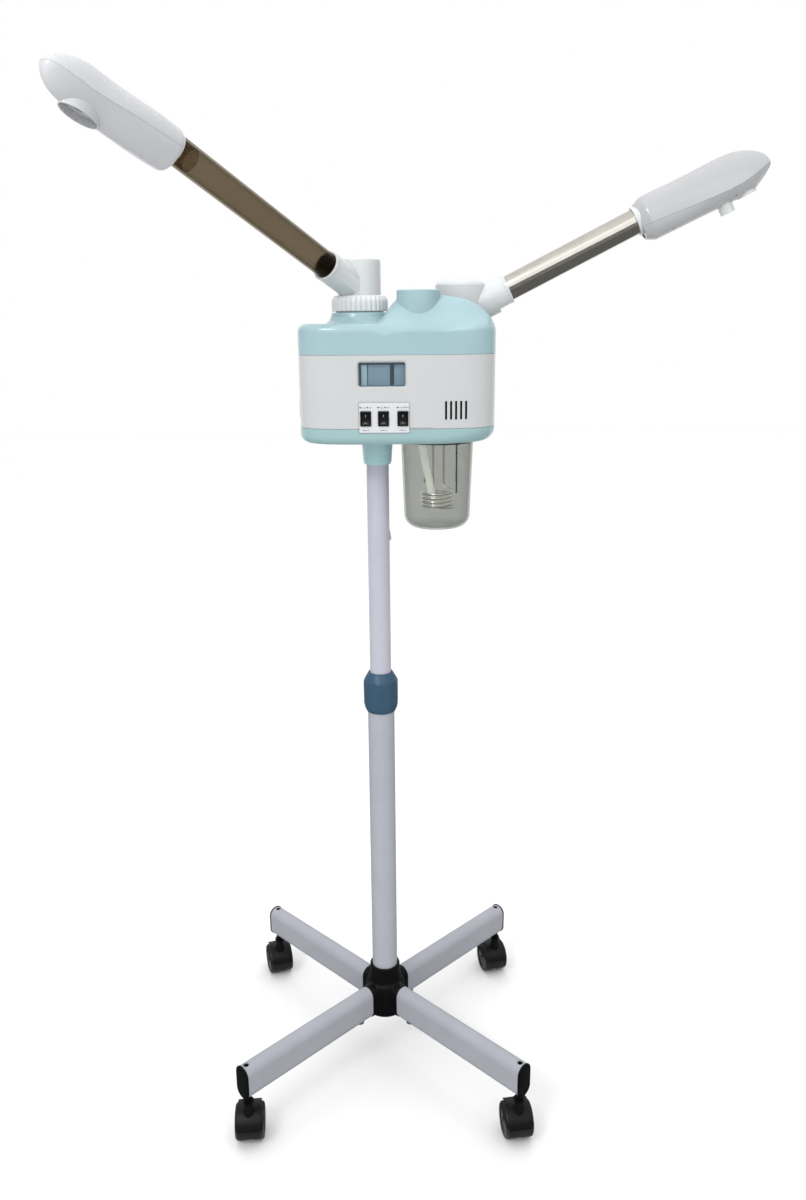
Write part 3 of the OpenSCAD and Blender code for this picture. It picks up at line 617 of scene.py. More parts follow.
def cover_solid(name, inset, drop, base, count, rings):
    """Solid under the cover's top face, shrunk by the inset and lowered by the drop."""
    loops = [raise_to(outline(inset, count), base)]
    rim = outline(0, count)
    for k in range(rings + 1):
        s = 1 - (k / rings) ** 1.35 * 0.995
        kx, ky = 1 - inset / HALF_W, 1 - inset / HALF_D
        loop = []
        for px, py in rim:
            x, y = BODY_X + (px - BODY_X) * s, py * s
            edge = (1 / max(s, 0.001) - 1) * math.hypot(x - BODY_X, y)
            loop.append((BODY_X + (x - BODY_X) * kx, y * ky, cover_height(x, y, edge) - drop))
        loops.append(loop)
    return loft(name, loops, sharp=40)


def build_cover():
    """Teal cover with the hump, the port skirt and the filler neck."""
    cover = cover_solid("top_cover_skin", 0, 0, BAND_TOP, 360, 64)
    skirt = revolve("skirt", [
        (29, SHOULDER - 16), (48, SHOULDER - 16), (48, SHOULDER - 3), (44.5, SHOULDER + 0.3),
        (40.2, SHOULDER + 3.6), (37.8, SHOULDER + 8), (36.6, SHOULDER + 13.5), (29, SHOULDER + 13.5),
    ], (MIST_X, MIST_Y), 1.6, 160)
    boolean(cover, skirt, "UNION")
    neck = revolve("neck", [
        (8, SHOULDER - 12), (27.5, SHOULDER - 12), (27.5, SHOULDER + 40), (8, SHOULDER + 40),
    ], (NECK_X, NECK_Y), 1.8, 160, steps=6)
    boolean(cover, neck, "UNION")
    inner = cover_solid("inner", WALL, WALL, BAND_TOP - 10, 120, 24)
    boolean(cover, inner)
    for (x, y), r in (((MIST_X, MIST_Y), 32), ((STEAM_X, STEAM_Y), 28), ((NECK_X, NECK_Y), 20)):
        boolean(cover, cylinder("hole", r, (x, y, 1050), (x, y, 1300), 160))
    bevel(cover, 0.5, 2, 50, 40)
    flatten(cover)
    piece(cover, "teal", "head", "teal_plastic", "top_cover")


def build_band():
    """White middle band with the window, the vent slots and the inlet cut through it."""
    band = loft("band_skin", levels(
        (0.7, PAN_TOP + 0.1), (0, PAN_TOP + 0.9), (0, BAND_TOP - 0.9), (0.7, BAND_TOP - 0.1),
        (WALL, BAND_TOP - 0.1), (WALL, PAN_TOP + 0.1)), tube=True)
    front_opening(band, WINDOW, 3.0, 2.2)
    for x in SWITCH_X:
        front_opening(band, (x, SWITCH_Z, 12.6, 17.6), 0.8)
    for k in range(-2, 3):
        front_opening(band, (SLOT[0] + 6.25 * k, SLOT[1], 2.7, 23), 1.3)
    lo, hi = node_box("power_inlet")
    boolean(band, block("hole", (lo[0] + 9.5, 60, lo[2] + 1), (hi[0] - 9.5, 120, hi[2] - 1)))
    bevel(band, 0.45, 2, 50)
    flatten(band)
    piece(band, "white_shell", "head", "white_shell", "mid_shell")
    patch = block("side_patch", (BODY_X - HALF_W - 0.25, -34, 999), (BODY_X - HALF_W + 0.6, 24, 1022), 0.1, 2)
    piece(patch, "sticker", "head", "label_white")


def front_outline(item, corner, grow=0.0):
    x, z, w, h = item
    w, h = w + 2 * grow, h + 2 * grow
    pts = [(x - w / 2, z - h / 2), (x + w / 2, z - h / 2), (x + w / 2, z + h / 2), (x - w / 2, z + h / 2)]
    return round_corners(pts, max(corner + grow, 0.1), 6)


def front_loops(item, corner, *steps):
    """Loops of a front item's outline, one for each depth and growth."""
    return [[(x, y, z) for x, z in front_outline(item, corner, grow)] for y, grow in steps]


def front_opening(obj, item, corner, chamfer=0.0):
    """Cuts a rounded opening through the front wall, with an optional splayed edge."""
    steps = [(FRONT - 6, 0), (FRONT + 14, 0)]
    if chamfer:
        steps = [(FRONT - 6, chamfer + 6), (FRONT + chamfer, 0), (FRONT + 14, 0)]
    boolean(obj, loft("cut", front_loops(item, corner, *steps)))


def build_pan():
    """Lower pan with a rolled bottom edge, its holes and its screw recesses."""
    steps = 12
    outer, shrunk = outline(0), outline(24)

    def rolled(a, wall=0.0):
        """Outline at one turn of the bottom edge, whose radius grows towards the right end."""
        loop = []
        for (x, y), (xi, yi) in zip(outer, shrunk):
            roll = 10.5 + 7.5 * smooth((x - BODY_X - 45) / 70)
            t = (roll - (roll - wall) * math.sin(a)) / 24
            loop.append((x + (xi - x) * t, y + (yi - y) * t, BODY_Z + roll - (roll - wall) * math.cos(a)))
        return loop

    loops = [rolled(math.pi / 2 * k / steps) for k in range(steps + 1)]
    loops += levels((0, PAN_TOP - 0.9), (0.7, PAN_TOP - 0.1), (WALL, PAN_TOP - 0.1))
    loops += [rolled(math.pi / 2 * k / steps, WALL) for k in range(steps, -1, -2)]
    pan = loft("pan_skin", loops)
    boolean(pan, cylinder("hole", 21.2, (0, 0, 900), (0, 0, 1000), 128))
    boolean(pan, cylinder("hole", 53, (JAR_X, JAR_Y, 900), (JAR_X, JAR_Y, 1000), 160))
    for x, y in PAN_SCREWS:
        boolean(pan, cylinder("hole", 3.6, (x, y, 900), (x, y, BODY_Z + 1.6), 48))
    bevel(pan, 0.4, 2, 50)
    piece(pan, "teal_low", "head", "teal_plastic", "bottom_pan")
    boss = revolve("pan_boss", [(21.3, BODY_Z - 3.4), (26, BODY_Z - 3.2), (38, BODY_Z - 1.8), (47, BODY_Z),
                                (47, BODY_Z + 0.6), (21.3, BODY_Z + 0.6)], (0, 0), 1.5, 128, steps=6)
    boolean(boss, cylinder("cut", 53.4, (JAR_X, JAR_Y, 900), (JAR_X, JAR_Y, 1000), 160))
    piece(boss, "teal_low", "head", "teal_plastic")
    screws = []
    for x, y in PAN_SCREWS:
        screw = revolve("screw", [(0, BODY_Z + 2.4), (3, BODY_Z + 2.4), (3, BODY_Z + 0.9), (0, BODY_Z + 0.5)],
                        (x, y), 0.4, 48)
        for turn in (0, 90):
            spin = Matrix.Translation((x * MM, y * MM, 0)) @ Matrix.Rotation(math.radians(turn + 20), 4, "Z")
            boolean(screw, block("slot", (-2, -0.35, BODY_Z - 1), (2, 0.35, BODY_Z + 1.3), place=spin))
        screws.append(screw)
    piece(join(screws, "pan_screws"), "steel", "head", "steel")


def build_socket():
    """Tapered socket that takes the pole."""
    socket = revolve("socket_skin", [
        (15.1, BODY_Z - 35), (18, BODY_Z - 35), (18.9, BODY_Z - 31), (21, BODY_Z - 1), (21, BODY_Z + 3),
        (26, BODY_Z + 3), (26, BODY_Z + 7), (21, BODY_Z + 7), (20, BODY_Z + 17), (15.1, BODY_Z + 17),
    ], (0, 0), 1.2, 128)
    piece(socket, "teal_dark", "head", "teal_dark_plastic", "pole_socket")


def build_window():
    """Tinted lens and the seat behind it."""
    lo, hi = node_box("window_lens")
    lens = loft("lens", front_loops(WINDOW, 3.5, (lo[1] + 0.3, 2.0), (lo[1] + 1.0, 2.7), (hi[1], 2.7)))
    piece(lens, "lens", "head", "window_tint", "window_lens")
    back = FRONT + WALL + 0.1
    seat = loft("lens_seat", front_loops(
        WINDOW, 3.5, (back, 2.8), (lo[1] - 0.05, 2.8), (lo[1] - 0.05, 0.3), (back, 0.3)), tube=True)
    # The lens seat takes the glowing tank look: painted light.
    piece(seat, "tank", "head", "tank_plastic")


def front_plate(name, item, corner, y_back, y_front, edge):
    """Thin plate with rounded corners lying on the front face."""
    loops = front_loops(item, corner, (y_back, 0), (y_front + edge, 0), (y_front, -edge))
    return loft(name, loops, sharp=60)


# Plain marks beside each switch: across, up, width, height
SWITCH_MARKS = ((-6.2, 13.6, 3.2, 1.5), (-1.6, 13.2, 2.6, 0.8), (2.2, 13.8, 2.2, 1.6),
                (6.0, 13.3, 3.0, 0.9), (-1.4, -14.4, 5.2, 0.8), (2.9, -14.4, 1.6, 0.8))


def build_panel():
    """Blank label with a printed border and plain marks."""
    label = front_plate("label", PANEL, 2.5, FRONT - 0.05, FRONT - 0.75, 0.15)
    for sx in SWITCH_X:
        boolean(label, block("cut", (sx - 6, FRONT - 4, SWITCH_Z - 8.4), (sx + 6, FRONT + 4, SWITCH_Z + 8.4)))
    piece(label, "label", "head", "label_white", "control_panel")
    printed, proud = FRONT - 0.7, FRONT - 0.82
    marks = [loft("label_border", front_loops(
        PANEL, 2.0, (printed, -0.1), (proud, -0.1), (proud, -0.55), (printed, -0.55)), tube=True)]
    for sx in SWITCH_X:
        for across, up, width, height in SWITCH_MARKS:
            item = (sx + across, SWITCH_Z + up, width, height)
            marks.append(front_plate("tick", item, 0.25, printed, proud, 0.02))
    piece(join(marks, "label_marks"), "label_line", "head", "label_white")
    line = front_plate("panel_line", (57.5, PAN_TOP + 1.3, 29, 0.7), 0.3, FRONT + 0.2, FRONT - 0.12, 0.02)
    piece(line, "print_grey", "head", "label_white")


def build_switches():
    """Frames and rocking keys, each key with a dash and a bar."""
    rims = []
    face = node_box("switch_frames")[0][1]
    for sx in SWITCH_X:
        rims.append(loft("rim", front_loops(
            (sx, SWITCH_Z, 13.8, 18.8), 1.3, (FRONT - 0.8, 0), (face + 0.9, 0), (face + 0.2, -0.25),
            (face, -0.8), (face, -1.5), (face + 0.5, -1.9), (FRONT + 12, -2.1), (FRONT + 12, -1.0),
            (FRONT - 0.8, -1.0)), tube=True))
    piece(join(rims, "switch_rims"), "switch", "head", "switch_black", "switch_frames")
    for k, body in enumerate(("rocker_left", "rocker_middle", "rocker_right")):
        sx = SWITCH_X[k]
        rocker = build_rocker(f"rocker_key_{k + 1}", sx)
        piece(rocker, "switch", body, "switch_black", f"rocker_{k + 1}")
        turn = rocker_place(sx)
        dash = block(f"rocker_dash_{k + 1}", (-0.35, -4.75, 2.6), (0.35, -4.3, 5.6), 0.1, 2, turn)
        dot = block(f"rocker_ring_{k + 1}", (-1.5, -4.75, -5.0), (1.5, -4.3, -4.4), 0.1, 2, turn)
        piece(dash, "mark", body, "label_white")
        piece(dot, "mark", body, "label_white")


def rocker_place(sx):
    centre = Matrix.Translation((sx * MM, (FRONT + 2) * MM, SWITCH_Z * MM))
    return centre @ Matrix.Rotation(math.radians(8), 4, "X")


def build_rocker(name, sx):
    """Key with a dished face, its upper edge standing out."""
    profile = [(3.0, -5.0)]
    for k in range(13):
        z = -6.6 + 13.2 * k / 12
        profile.append((-4.6 + 1.2 * (1 - (z / 6.6) ** 2), z))
    profile.append((3.0, 5.0))
    half = 4.5
    loops = []
    for x, shrink in ((-half, 0.35), (-half + 0.35, 0.0), (half - 0.35, 0.0), (half, 0.35)):
        loops.append([(x, y + (shrink if y < 0 else 0), z * (1 - shrink / 7)) for y, z in profile])
    return loft(name, loops, rocker_place(sx), sharp=40)


build_cover()
build_band()
build_pan()
build_socket()
build_window()
build_panel()
build_switches()


# ---------------------------------------------------------------- filler neck, ports and elbows

def build_cap():
    """Plug of the filler neck with a grip bar."""
    top = node_box("filler_cap")[1][2]
    cap = revolve("cap_skin", [
        (0, top - 13), (19.5, top - 13), (19.5, top - 0.8), (17.2, top), (16.2, top - 1.2),
        (14.8, top - 4.2), (0, top - 4.8),
    ], (NECK_X, NECK_Y), 0.7, 128)
    grip = block("cap_grip", (NECK_X - 2, NECK_Y - 15.6, top - 6), (NECK_X + 2, NECK_Y + 15.6, top - 0.6),
                 0.8)
    boolean(cap, grip, "UNION")
    piece(cap, "teal", "cap", "teal_plastic", "filler_cap")


def build_ring_nut():
    """Fluted ring with a chamfered crown."""
    z0, z1 = node_box("mist_ring_nut")[0][2], 1149.5
    flutes, count = 32, 960
    profile = [(27.9, z0 + 14), (27.9, z1 - 0.4), (28.4, z1), (31.2, z1), (33.4, z1 - 1.2), (35.3, z1 - 4.0),
               (36.0, z1 - 5.4), (36.25, z1 - 8), (36.25, z0 + 1.2), (35.6, z0), (31.5, z0), (31.4, z0 + 14)]
    loops = []
    for r, z in round_corners(profile, 0.35, 3):
        deep = 1.9 * smooth((r - 33.8) / 2.0)
        loop = []
        for i in range(count):
            a = 2 * math.pi * i / count
            wave = 1 - abs(math.sin(flutes * a / 2)) ** 6
            rr = r - deep * (1 - wave)
            loop.append((MIST_X + rr * math.cos(a), MIST_Y + rr * math.sin(a), z))
        loops.append(loop)
    nut = loft("nut_skin", loops, tube=True, sharp=28)
    piece(nut, "nut", "ring_nut", "white_plastic", "mist_ring_nut")


def socket_rim(side, place, start, end, radius, edge):
    """Bead round the mouth of an elbow's branch."""
    profile = [(16.15, start), (radius, start), (radius, end), (16.15, end)]
    rim = revolve(f"{side}_socket_rim", profile, (0, 0), edge, 128, place @ ALONG)
    piece(rim, "white_part", f"{side}_arm", "white_plastic")


def build_mist_elbow():
    """Upright cylinder with a branch for the smoked tube."""
    base, top = node_box("mist_elbow")[0][2], 1193.5
    body = revolve("elbow", [
        (20, base), (30.5, base), (30.5, base + 5.3), (27.6, base + 5.3), (27.5, top - 8), (27.3, top),
        (0, top), (0, top - 5), (20, top - 8),
    ], (MIST_X, MIST_Y), 2.0, 160, steps=6)
    branch = revolve("branch", [
        (0, 12 - MIST_ROOT), (18.7, 12 - MIST_ROOT), (18.9, 66 - MIST_ROOT), (0, 66 - MIST_ROOT),
    ], (0, 0), 0.8, 128, MIST @ ALONG)
    both = boolean(body, branch, "UNION")
    bore = cylinder("bore", 16.1, (44 - MIST_ROOT, 0, 0), (90 - MIST_ROOT, 0, 0), 128, MIST)
    boolean(both, bore, sharp=50)
    piece(both, "white_part", "mist_arm", "white_plastic", "mist_elbow")
    socket_rim("mist", MIST, 64.5 - MIST_ROOT, 69 - MIST_ROOT, 19.2, 0.7)


def build_steam_elbow():
    """Domed cup with a branch for the chrome tube."""
    base = node_box("steam_elbow")[0][2]
    body = revolve("cup", [
        (24.2, base), (29.6, base), (30.2, base + 10), (31.2, base + 26), (32.4, base + 43), (31,
                                                                                              base + 45.8),
        (27, base + 48.4), (17, base + 52.2), (0, base + 53), (0, base + 46), (24.2, base + 42),
    ], (STEAM_X, STEAM_Y), 1.4, 160, steps=6)
    branch = revolve("branch", [
        (0, 8 - STEAM_ROOT), (19.6, 8 - STEAM_ROOT), (19.0, 46 - STEAM_ROOT), (18.5, 67 - STEAM_ROOT),
        (0, 67 - STEAM_ROOT),
    ], (0, 0), 0.8, 128, STEAM @ ALONG)
    both = boolean(body, branch, "UNION")
    rib = block("rib", (30 - STEAM_ROOT, -2.4, -22.5), (50 - STEAM_ROOT, 2.4, -14), 1.2, 3, STEAM)
    boolean(both, rib, "UNION")
    bore = cylinder("bore", 16.1, (45 - STEAM_ROOT, 0, 0), (90 - STEAM_ROOT, 0, 0), 128, STEAM)
    boolean(both, bore, sharp=50)
    piece(both, "white_part", "steam_arm", "white_plastic", "steam_elbow")
    socket_rim("steam", STEAM, 66 - STEAM_ROOT, 70 - STEAM_ROOT, 18.9, 0.6)


def build_tubes():
    """Smoked tube with its inner sleeve, chrome tube, and the collars on both."""
    smoked = revolve("smoked_tube_skin", [
        (14, 45 - MIST_ROOT), (16, 45 - MIST_ROOT), (16, 17.5), (14, 17.5),
    ], (0, 0), 0.5, 128, MIST @ ALONG)
    piece(smoked, "smoke", "mist_arm", "smoked_tube", "mist_tube")
    chrome = revolve("chrome_tube_skin", [
        (14.8, 46 - STEAM_ROOT), (16, 46 - STEAM_ROOT), (16, 17.5), (14.8, 17.5),
    ], (0, 0), 0.4, 128, STEAM @ ALONG)
    piece(chrome, "chrome", "steam_arm", "tube_chrome", "steam_tube")
    for side, place, r in (("mist", MIST, 17.2), ("steam", STEAM, 18.4)):
        profile = [(16.05, -4), (r, -4), (r, 19.5), (16.05, 19.5)]
        collar = revolve(f"{side}_collar", profile, (0, 0), 0.5, 128, place @ ALONG)
        piece(collar, "white_part", f"{side}_head", "white_plastic", f"{side}_head_collar")
    sleeve = revolve("mist_inner_sleeve", [
        (11.5, -26), (13.9, -26), (13.9, 17), (11.5, 17),
    ], (0, 0), 0.5, 96, MIST @ ALONG)
    piece(sleeve, "sleeve", "mist_arm", "smoked_tube")


build_cap()
build_ring_nut()
build_mist_elbow()
build_steam_elbow()
build_tubes()


# ---------------------------------------------------------------- nozzle heads

def monotone(x, xs, ys):
    """Smooth curve through the points that doesn't overshoot between them."""
    h = [b - a for a, b in zip(xs, xs[1:])]
    d = [(b - a) / w for a, b, w in zip(ys, ys[1:], h)]
    m = [d[0]]
    for k in range(1, len(d)):
        m.append(0.0 if d[k - 1] * d[k] <= 0 else
                 3 * (h[k - 1] + h[k]) / ((2 * h[k] + h[k - 1]) / d[k - 1] + (h[k] + 2 * h[k - 1]) / d[k]))
    m.append(d[-1])
    k = min(max(int(np.searchsorted(xs, x)) - 1, 0), len(d) - 1)
    t = min(1.0, max(0.0, (x - xs[k]) / h[k]))
    return ((1 + 2 * t) * (1 - t) ** 2 * ys[k] + t * (1 - t) ** 2 * h[k] * m[k]
            + t * t * (3 - 2 * t) * ys[k + 1] + t * t * (t - 1) * h[k] * m[k + 1])


class Head:
    """Outer form of a nozzle head. Stations run along its tube axis, heights stand across it."""

    def __init__(self, length, at, top, low, wide, seam, shoulder, chamfer):
        self.length = length
        order = sorted(range(len(at)), key=lambda k: -at[k])
        self.grid = [math.sqrt(max(0.0, 1 - at[k] / length)) for k in order]
        self.top = [top[k] for k in order]
        self.low = [low[k] for k in order]
        self.wide = [wide[k] for k in order]
        self.seam = seam
        self.shoulder = shoulder
        self.chamfer = chamfer

    def at(self, s):
        g = math.sqrt(max(0.0, 1 - s / self.length))
        if self.chamfer:
            t = max(0.0, 1 - s / self.shoulder)
            turn_in = self.chamfer * t ** 1.15
        else:
            turn_in = self.shoulder * (1 - bulge(s, self.shoulder * 1.3)) if s < self.shoulder * 1.3 else 0.0
        top = monotone(g, self.grid, self.top) - 0.1 - (turn_in if self.chamfer else 0.25 * turn_in)
        low = monotone(g, self.grid, self.low) + turn_in
        wide = monotone(g, self.grid, self.wide) - turn_in
        seam = min(max(monotone(s, *self.seam), low + 0.1), top - 0.1)
        return top, low, wide, seam

    def half(self, s, side, skin=0.0, lift=0.12, steps=44):
        """Points of the upper (1) or lower (-1) half section from one side to the other."""
        top, low, wide, seam = self.at(s)
        high = max(0.3, (top - seam if side > 0 else seam - low) - skin)
        wide = max(0.3, wide - skin)
        keel = 0.5 * smooth((s / self.length - 0.22) / 0.45) * (0.6 if side > 0 else 1.0)
        loop = []
        for j in range(steps + 1):
            a = math.pi * j / steps
            c = math.cos(a)
            y = wide * ((1 - keel) * c + keel * math.copysign(1 - math.sin(a), c))
            loop.append((s, y, seam + side * (lift + high * math.sin(a))))
        return loop


HEADS = {
    "mist": Head(
        152.4,
        (0, 22.9, 53.3, 83.8, 106.7, 121.9, 134.1, 143.3, 148.6, 152.4),
        (18.9, 18.8, 16.9, 15.65, 15.65, 12.9, 7.9, 2.1, -2.6, -10.3),
        (-28.9, -30.7, -32.3, -33.6, -33.8, -33.4, -31.5, -27.4, -22.0, -10.3),
        (22.7, 23.6, 23.3, 22.2, 21.2, 19.6, 17.0, 13.4, 9.6, 0),
        ((0, 60, 110, 152.4), (-5, -9.5, -13.5, -10.3)), 4.0, 0.0),
    "steam": Head(
        170.8,
        (0, 24, 44, 64, 84, 104, 119, 129, 139, 149, 159, 164, 170.8),
        (24.6, 24.5, 23.6, 22.8, 22.5, 22.4, 21.9, 20.9, 18.4, 14.6, 8.6, 4.2, -11),
        (-31.2, -31.6, -32.1, -32.4, -32.8, -33.2, -33.4, -33.6, -33.2, -28.4, -22.8, -19.2, -11),
        (24.5, 25.5, 25.5, 25.3, 25, 24.6, 23.8, 22.6, 20.6, 17.6, 12.6, 9.4, 0),
        ((0, 20, 120, 171), (-10, -11.4, -19, -11)), 11.5, 5.6),
}


def head_shell(name, shape, side, place):
    """Half shell of a nozzle head: outer skin, inner skin and the parting edge between them."""
    stations = [12 * (k / 12) ** 1.3 for k in range(13)]
    stations += [12 + (0.5 * shape.length - 12) * k / 26 for k in range(1, 27)]
    stations += [shape.length * (0.5 + 0.5 * math.sin(math.pi / 2 * k / 44)) for k in range(1, 45)]
    loops = []
    for s in stations:
        outer = shape.half(s, side)
        inner = shape.half(min(s, shape.length - 3) * (1 - 1.0 / shape.length), side, 2.5)
        loops.append(outer + inner[::-1])
    return loft(name, loops, place, sharp=42)


def ellipse_post(name, centre, a, b, z0, z1, place):
    """Solid oval post across the tube axis."""
    return loft(name, [ellipse(centre, a, b, z0), ellipse(centre, a, b, z1)], place)


def ellipse_ring(name, centre, a, b, z0, z1, place, draft=0.0):
    """Oval lip with a thin wall and a softened outer edge. draft widens its root."""
    wall, edge = 1.3, 0.3
    loops = []
    for inset, z, grow in ((edge, z0, 0), (0, z0 + edge, 0), (0, z1, draft), (wall, z1, draft),
                           (wall, z0 + edge, 0), (wall - edge, z0, 0)):
        loops.append(ellipse(centre, a - inset + grow, b - inset + grow, z))
    return loft(name, loops, place, tube=True)


def end_plate(name, shape, place):
    """Closes the tube end of a head round its collar."""
    count = 64
    loops = []
    for s, skin in ((1.2, 2.7), (3.4, 2.7)):
        top, low, wide, seam = shape.at(s)
        mid, tall = (top + low) / 2, (top - low) / 2 - skin
        loops.append([(s, (wide - skin) * math.cos(2 * math.pi * i / count),
                       mid + tall * math.sin(2 * math.pi * i / count)) for i in range(count)])
    plate = loft(name, loops, place)
    return boolean(plate, cylinder("hole", 17.3, (-5, 0, 0), (20, 0, 0), 96, place))


MOUTH = (104.0, 0.0)
SPOUT = (102.5, 0.0)


def build_heads():
    """Both nozzle heads with their outlets; the right one has four screw holes."""
    for side, place in (("mist", MIST), ("steam", STEAM)):
        shape = HEADS[side]
        body = f"{side}_head"
        top = head_shell(f"{side}_shell_top", shape, 1, place)
        low = head_shell(f"{side}_shell_low", shape, -1, place)
        if side == "mist":
            boolean(low, ellipse_post("hole", MOUTH, 20.0, 12.4, -60, -8, place))
            lip = ellipse_ring("lip", MOUTH, 21.4, 14.0, -34.6, -18, place, 0.3)
            boolean(low, lip, "UNION")
            floor_plate = ellipse_post("mist_throat", MOUTH, 20.4, 12.8, -26.5, -24, place)
            boolean(floor_plate, cylinder("hole", 7.5, (*MOUTH, -40), (*MOUTH, -5), 96, place))
            piece(floor_plate, "head", body, "head_white")
        else:
            boolean(low, cylinder("hole", 9.4, (*SPOUT, -60), (*SPOUT, -5), 96, place))
            ring = ellipse_ring("steam_lip", (131.0, 0.0), 12.5, 9.5, -34.4, -27, place)
            piece(ring, "white_part", body, "white_plastic")
            spout = revolve("steam_spout_skin", [
                (6.5, -43.5), (9, -43.5), (9.1, -20), (12, -20), (12, -17), (6.5, -17),
            ], SPOUT, 0.7, 96, place)
            piece(spout, "white_part", body, "white_plastic", "steam_spout")
            for s, y in ((33, -13), (33, 13), (116, -12.5), (116, 12.5)):
                boolean(low, cylinder("hole", 1.9, (s, y, -60), (s, y, -24.5), 32, place))
        # The right head takes the darker copy of the head white: painted shade.
        look = "head" if side == "mist" else "head_painted_shade"
        piece(end_plate(f"{side}_end_plate", shape, place), look, body, "head_white")
        piece(top, look, body, "head_white", f"{side}_head_top")
        piece(low, look, body, "head_white", f"{side}_head_bottom")


build_heads()


# ---------------------------------------------------------------- boiler and jar

def build_jar():
    """Glass jar with a rounded foot, and the seal under the pan."""
    low, high = node_box("glass_jar")
    bottom, rim = low[2], high[2]
    r_low, r_top, thick = 44.5, 48.0, 2.5
    foot, lift = 17, 20.5
    profile = [(0.0, bottom)]
    for k in range(13):
        a = math.pi / 2 * k / 12
        profile.append((r_low - foot + foot * math.sin(a), bottom + lift - foot * math.cos(a)))
    profile += [(r_top - 0.2, BODY_Z - 14), (r_top, BODY_Z - 9), (r_top, rim), (r_top - thick, rim),
                (r_top - thick, BODY_Z - 12)]
    for k in range(12, -1, -1):
        a = math.pi / 2 * k / 12
        inner = foot - thick
        profile.append((r_low - foot + inner * math.sin(a), bottom + lift - inner * math.cos(a)))
    profile.append((0.0, bottom + 2.8))
    jar = revolve("jar_skin", profile, (JAR_X, JAR_Y), 0.3, 192, sharp=50, steps=2)
    piece(jar, "jar", "jar", "jar_glass", "glass_jar")
    gasket = revolve("gasket_skin", [
        (48.4, BODY_Z - 5), (51.6, BODY_Z - 5), (52, BODY_Z - 1), (52, BODY_Z), (48.4, BODY_Z),
    ], (JAR_X, JAR_Y), 0.8, 160)
    piece(gasket, "gasket", "head", "black_rubber", "jar_gasket")


def build_heater():
    """One bent rod: down from the flange, four turns of coil and back up."""
    r, z0, pitch, turns = 21.0, 874.0, 5.2, 4
    top = z0 + pitch * turns
    flange = 976.0
    coil = [(r * math.cos(a) + JAR_X, r * math.sin(a) + JAR_Y, z0 + pitch * a / (2 * math.pi))
            for a in [2 * math.pi * turns * k / 240 for k in range(240, -1, -1)]]
    lead_in = smooth_path([(JAR_X + 9, 4.5, flange), (JAR_X + 9, 4.5, flange - 40),
                           (JAR_X + 9, 4.5, top + 14),
                           (JAR_X + 12, 4, top + 5), (JAR_X + r - 1.5, 2.5, top + 1.2)], 10)
    lead_out = smooth_path([(JAR_X + r - 1.5, -3.5, z0 - 0.6), (JAR_X + 12, -3, z0 - 1),
                            (JAR_X - 1, 3, z0 - 0.5),
                            (JAR_X - 5, 5, z0 + 8), (JAR_X - 5, 5, top + 30), (JAR_X - 5, 5, flange)], 10)
    rod = sweep("heater_rod", lead_in + coil[1:] + lead_out, 2.1, 20)
    # The rod takes the coil look with its painted glow.
    piece(rod, "coil", "head", "heater_chrome", "heating_element")


def hose(name, path, outer, inner, sides=40):
    """Open-ended hose with a wall along a path."""
    skin = sweep(name, path, outer, sides)
    core = [path[0] + (np.array(path[0]) - np.array(path[1])) * 0.5] + [np.array(p) for p in path[1:-1]]
    core.append(np.array(path[-1]) + (np.array(path[-1]) - np.array(path[-2])) * 2)
    return boolean(skin, sweep("core", core, inner, sides), sharp=50)


def build_boiler_parts():
    """Filler hose and funnel, and the level probes with their bushes."""
    path = smooth_path([(58, -30, 1110), (58, -30, 1050), (58, -30, 990), (59, -28, 965),
                        (64, -20, 935), (70, -11, 906), (73, -7, 888)], 6)
    tube = hose("filler_hose", [np.array(p) for p in path], 5.0, 3.2)
    funnel = revolve("funnel", [
        (6, 1106), (7.2, 1106), (18.6, 1121), (19.6, 1122), (19.6, 1126), (18.4, 1126), (17.4, 1122.5),
        (6, 1109.5),
    ], (NECK_X, NECK_Y), 0.4, 96)
    # The hose and funnel carry the painted glow of the silicone look.
    piece(tube, "silicone", "head", "silicone_white", "filler_tube")
    piece(funnel, "silicone", "head", "silicone_white")
    probes = []
    for x, y, z in ((106, -4, 893), (64, 14, 905)):
        probes.append(revolve("probe", [(0, z), (1.2, z), (1.2, 976), (0, 976)], (x, y), 0.4, 32))
        probes.append(revolve("bush", [(1.25, 958), (4, 958), (4.6, 964), (4.6, 976), (1.25, 976)], (x, y),
                              0.5, 48))
    piece(join(probes, "probe_rods"), "steel", "head", "steel", "level_probes")


build_jar()
build_heater()
build_boiler_parts()


# ---------------------------------------------------------------- pole and clamp

def build_clamp():
    """Ten-sided grip with a rounded foot and a cone on top."""
    z0, z1 = (corner[2] for corner in node_box("clamp_nut"))
    profile = [(19.3, z0 + 0.2), (20.4, z0), (23.2, z0 + 6), (24.7, z0 + 14), (24.9, z1 - 14),
               (24.4, z1 - 12.6),
               (17.6, z1 - 0.8), (16.9, z1), (15.5, z1), (15.5, z1 - 8), (19.3, z1 - 30)]
    pts = round_corners(profile, 0.8, 4)
    dense = []
    for (r0, a0), (r1, a1) in zip(pts, pts[1:] + pts[:1]):
        parts = max(1, int(abs(a1 - a0) / 2.5))
        dense += [(r0 + (r1 - r0) * k / parts, a0 + (a1 - a0) * k / parts) for k in range(parts)]
    count = 360
    loops = []
    for r, z in dense:
        loop = []
        for i in range(count):
            a = 360 * i / count
            off = (a - 11) % 36 - 18
            flat = 25.2 * math.cos(math.radians(18)) / math.cos(math.radians(off))
            edge = 0.25
            rr = r if r < 20 else -edge * math.log(math.exp(-r / edge) + math.exp(-flat / edge))
            loop.append((rr * math.cos(math.radians(a)), rr * math.sin(math.radians(a)), z))
        loops.append(loop)
    nut = loft("grip_skin", loops, tube=True, sharp=50)
    piece(nut, "slate", "clamp", "slate_plastic", "clamp_nut")


build_clamp()


# ---------------------------------------------------------------- base

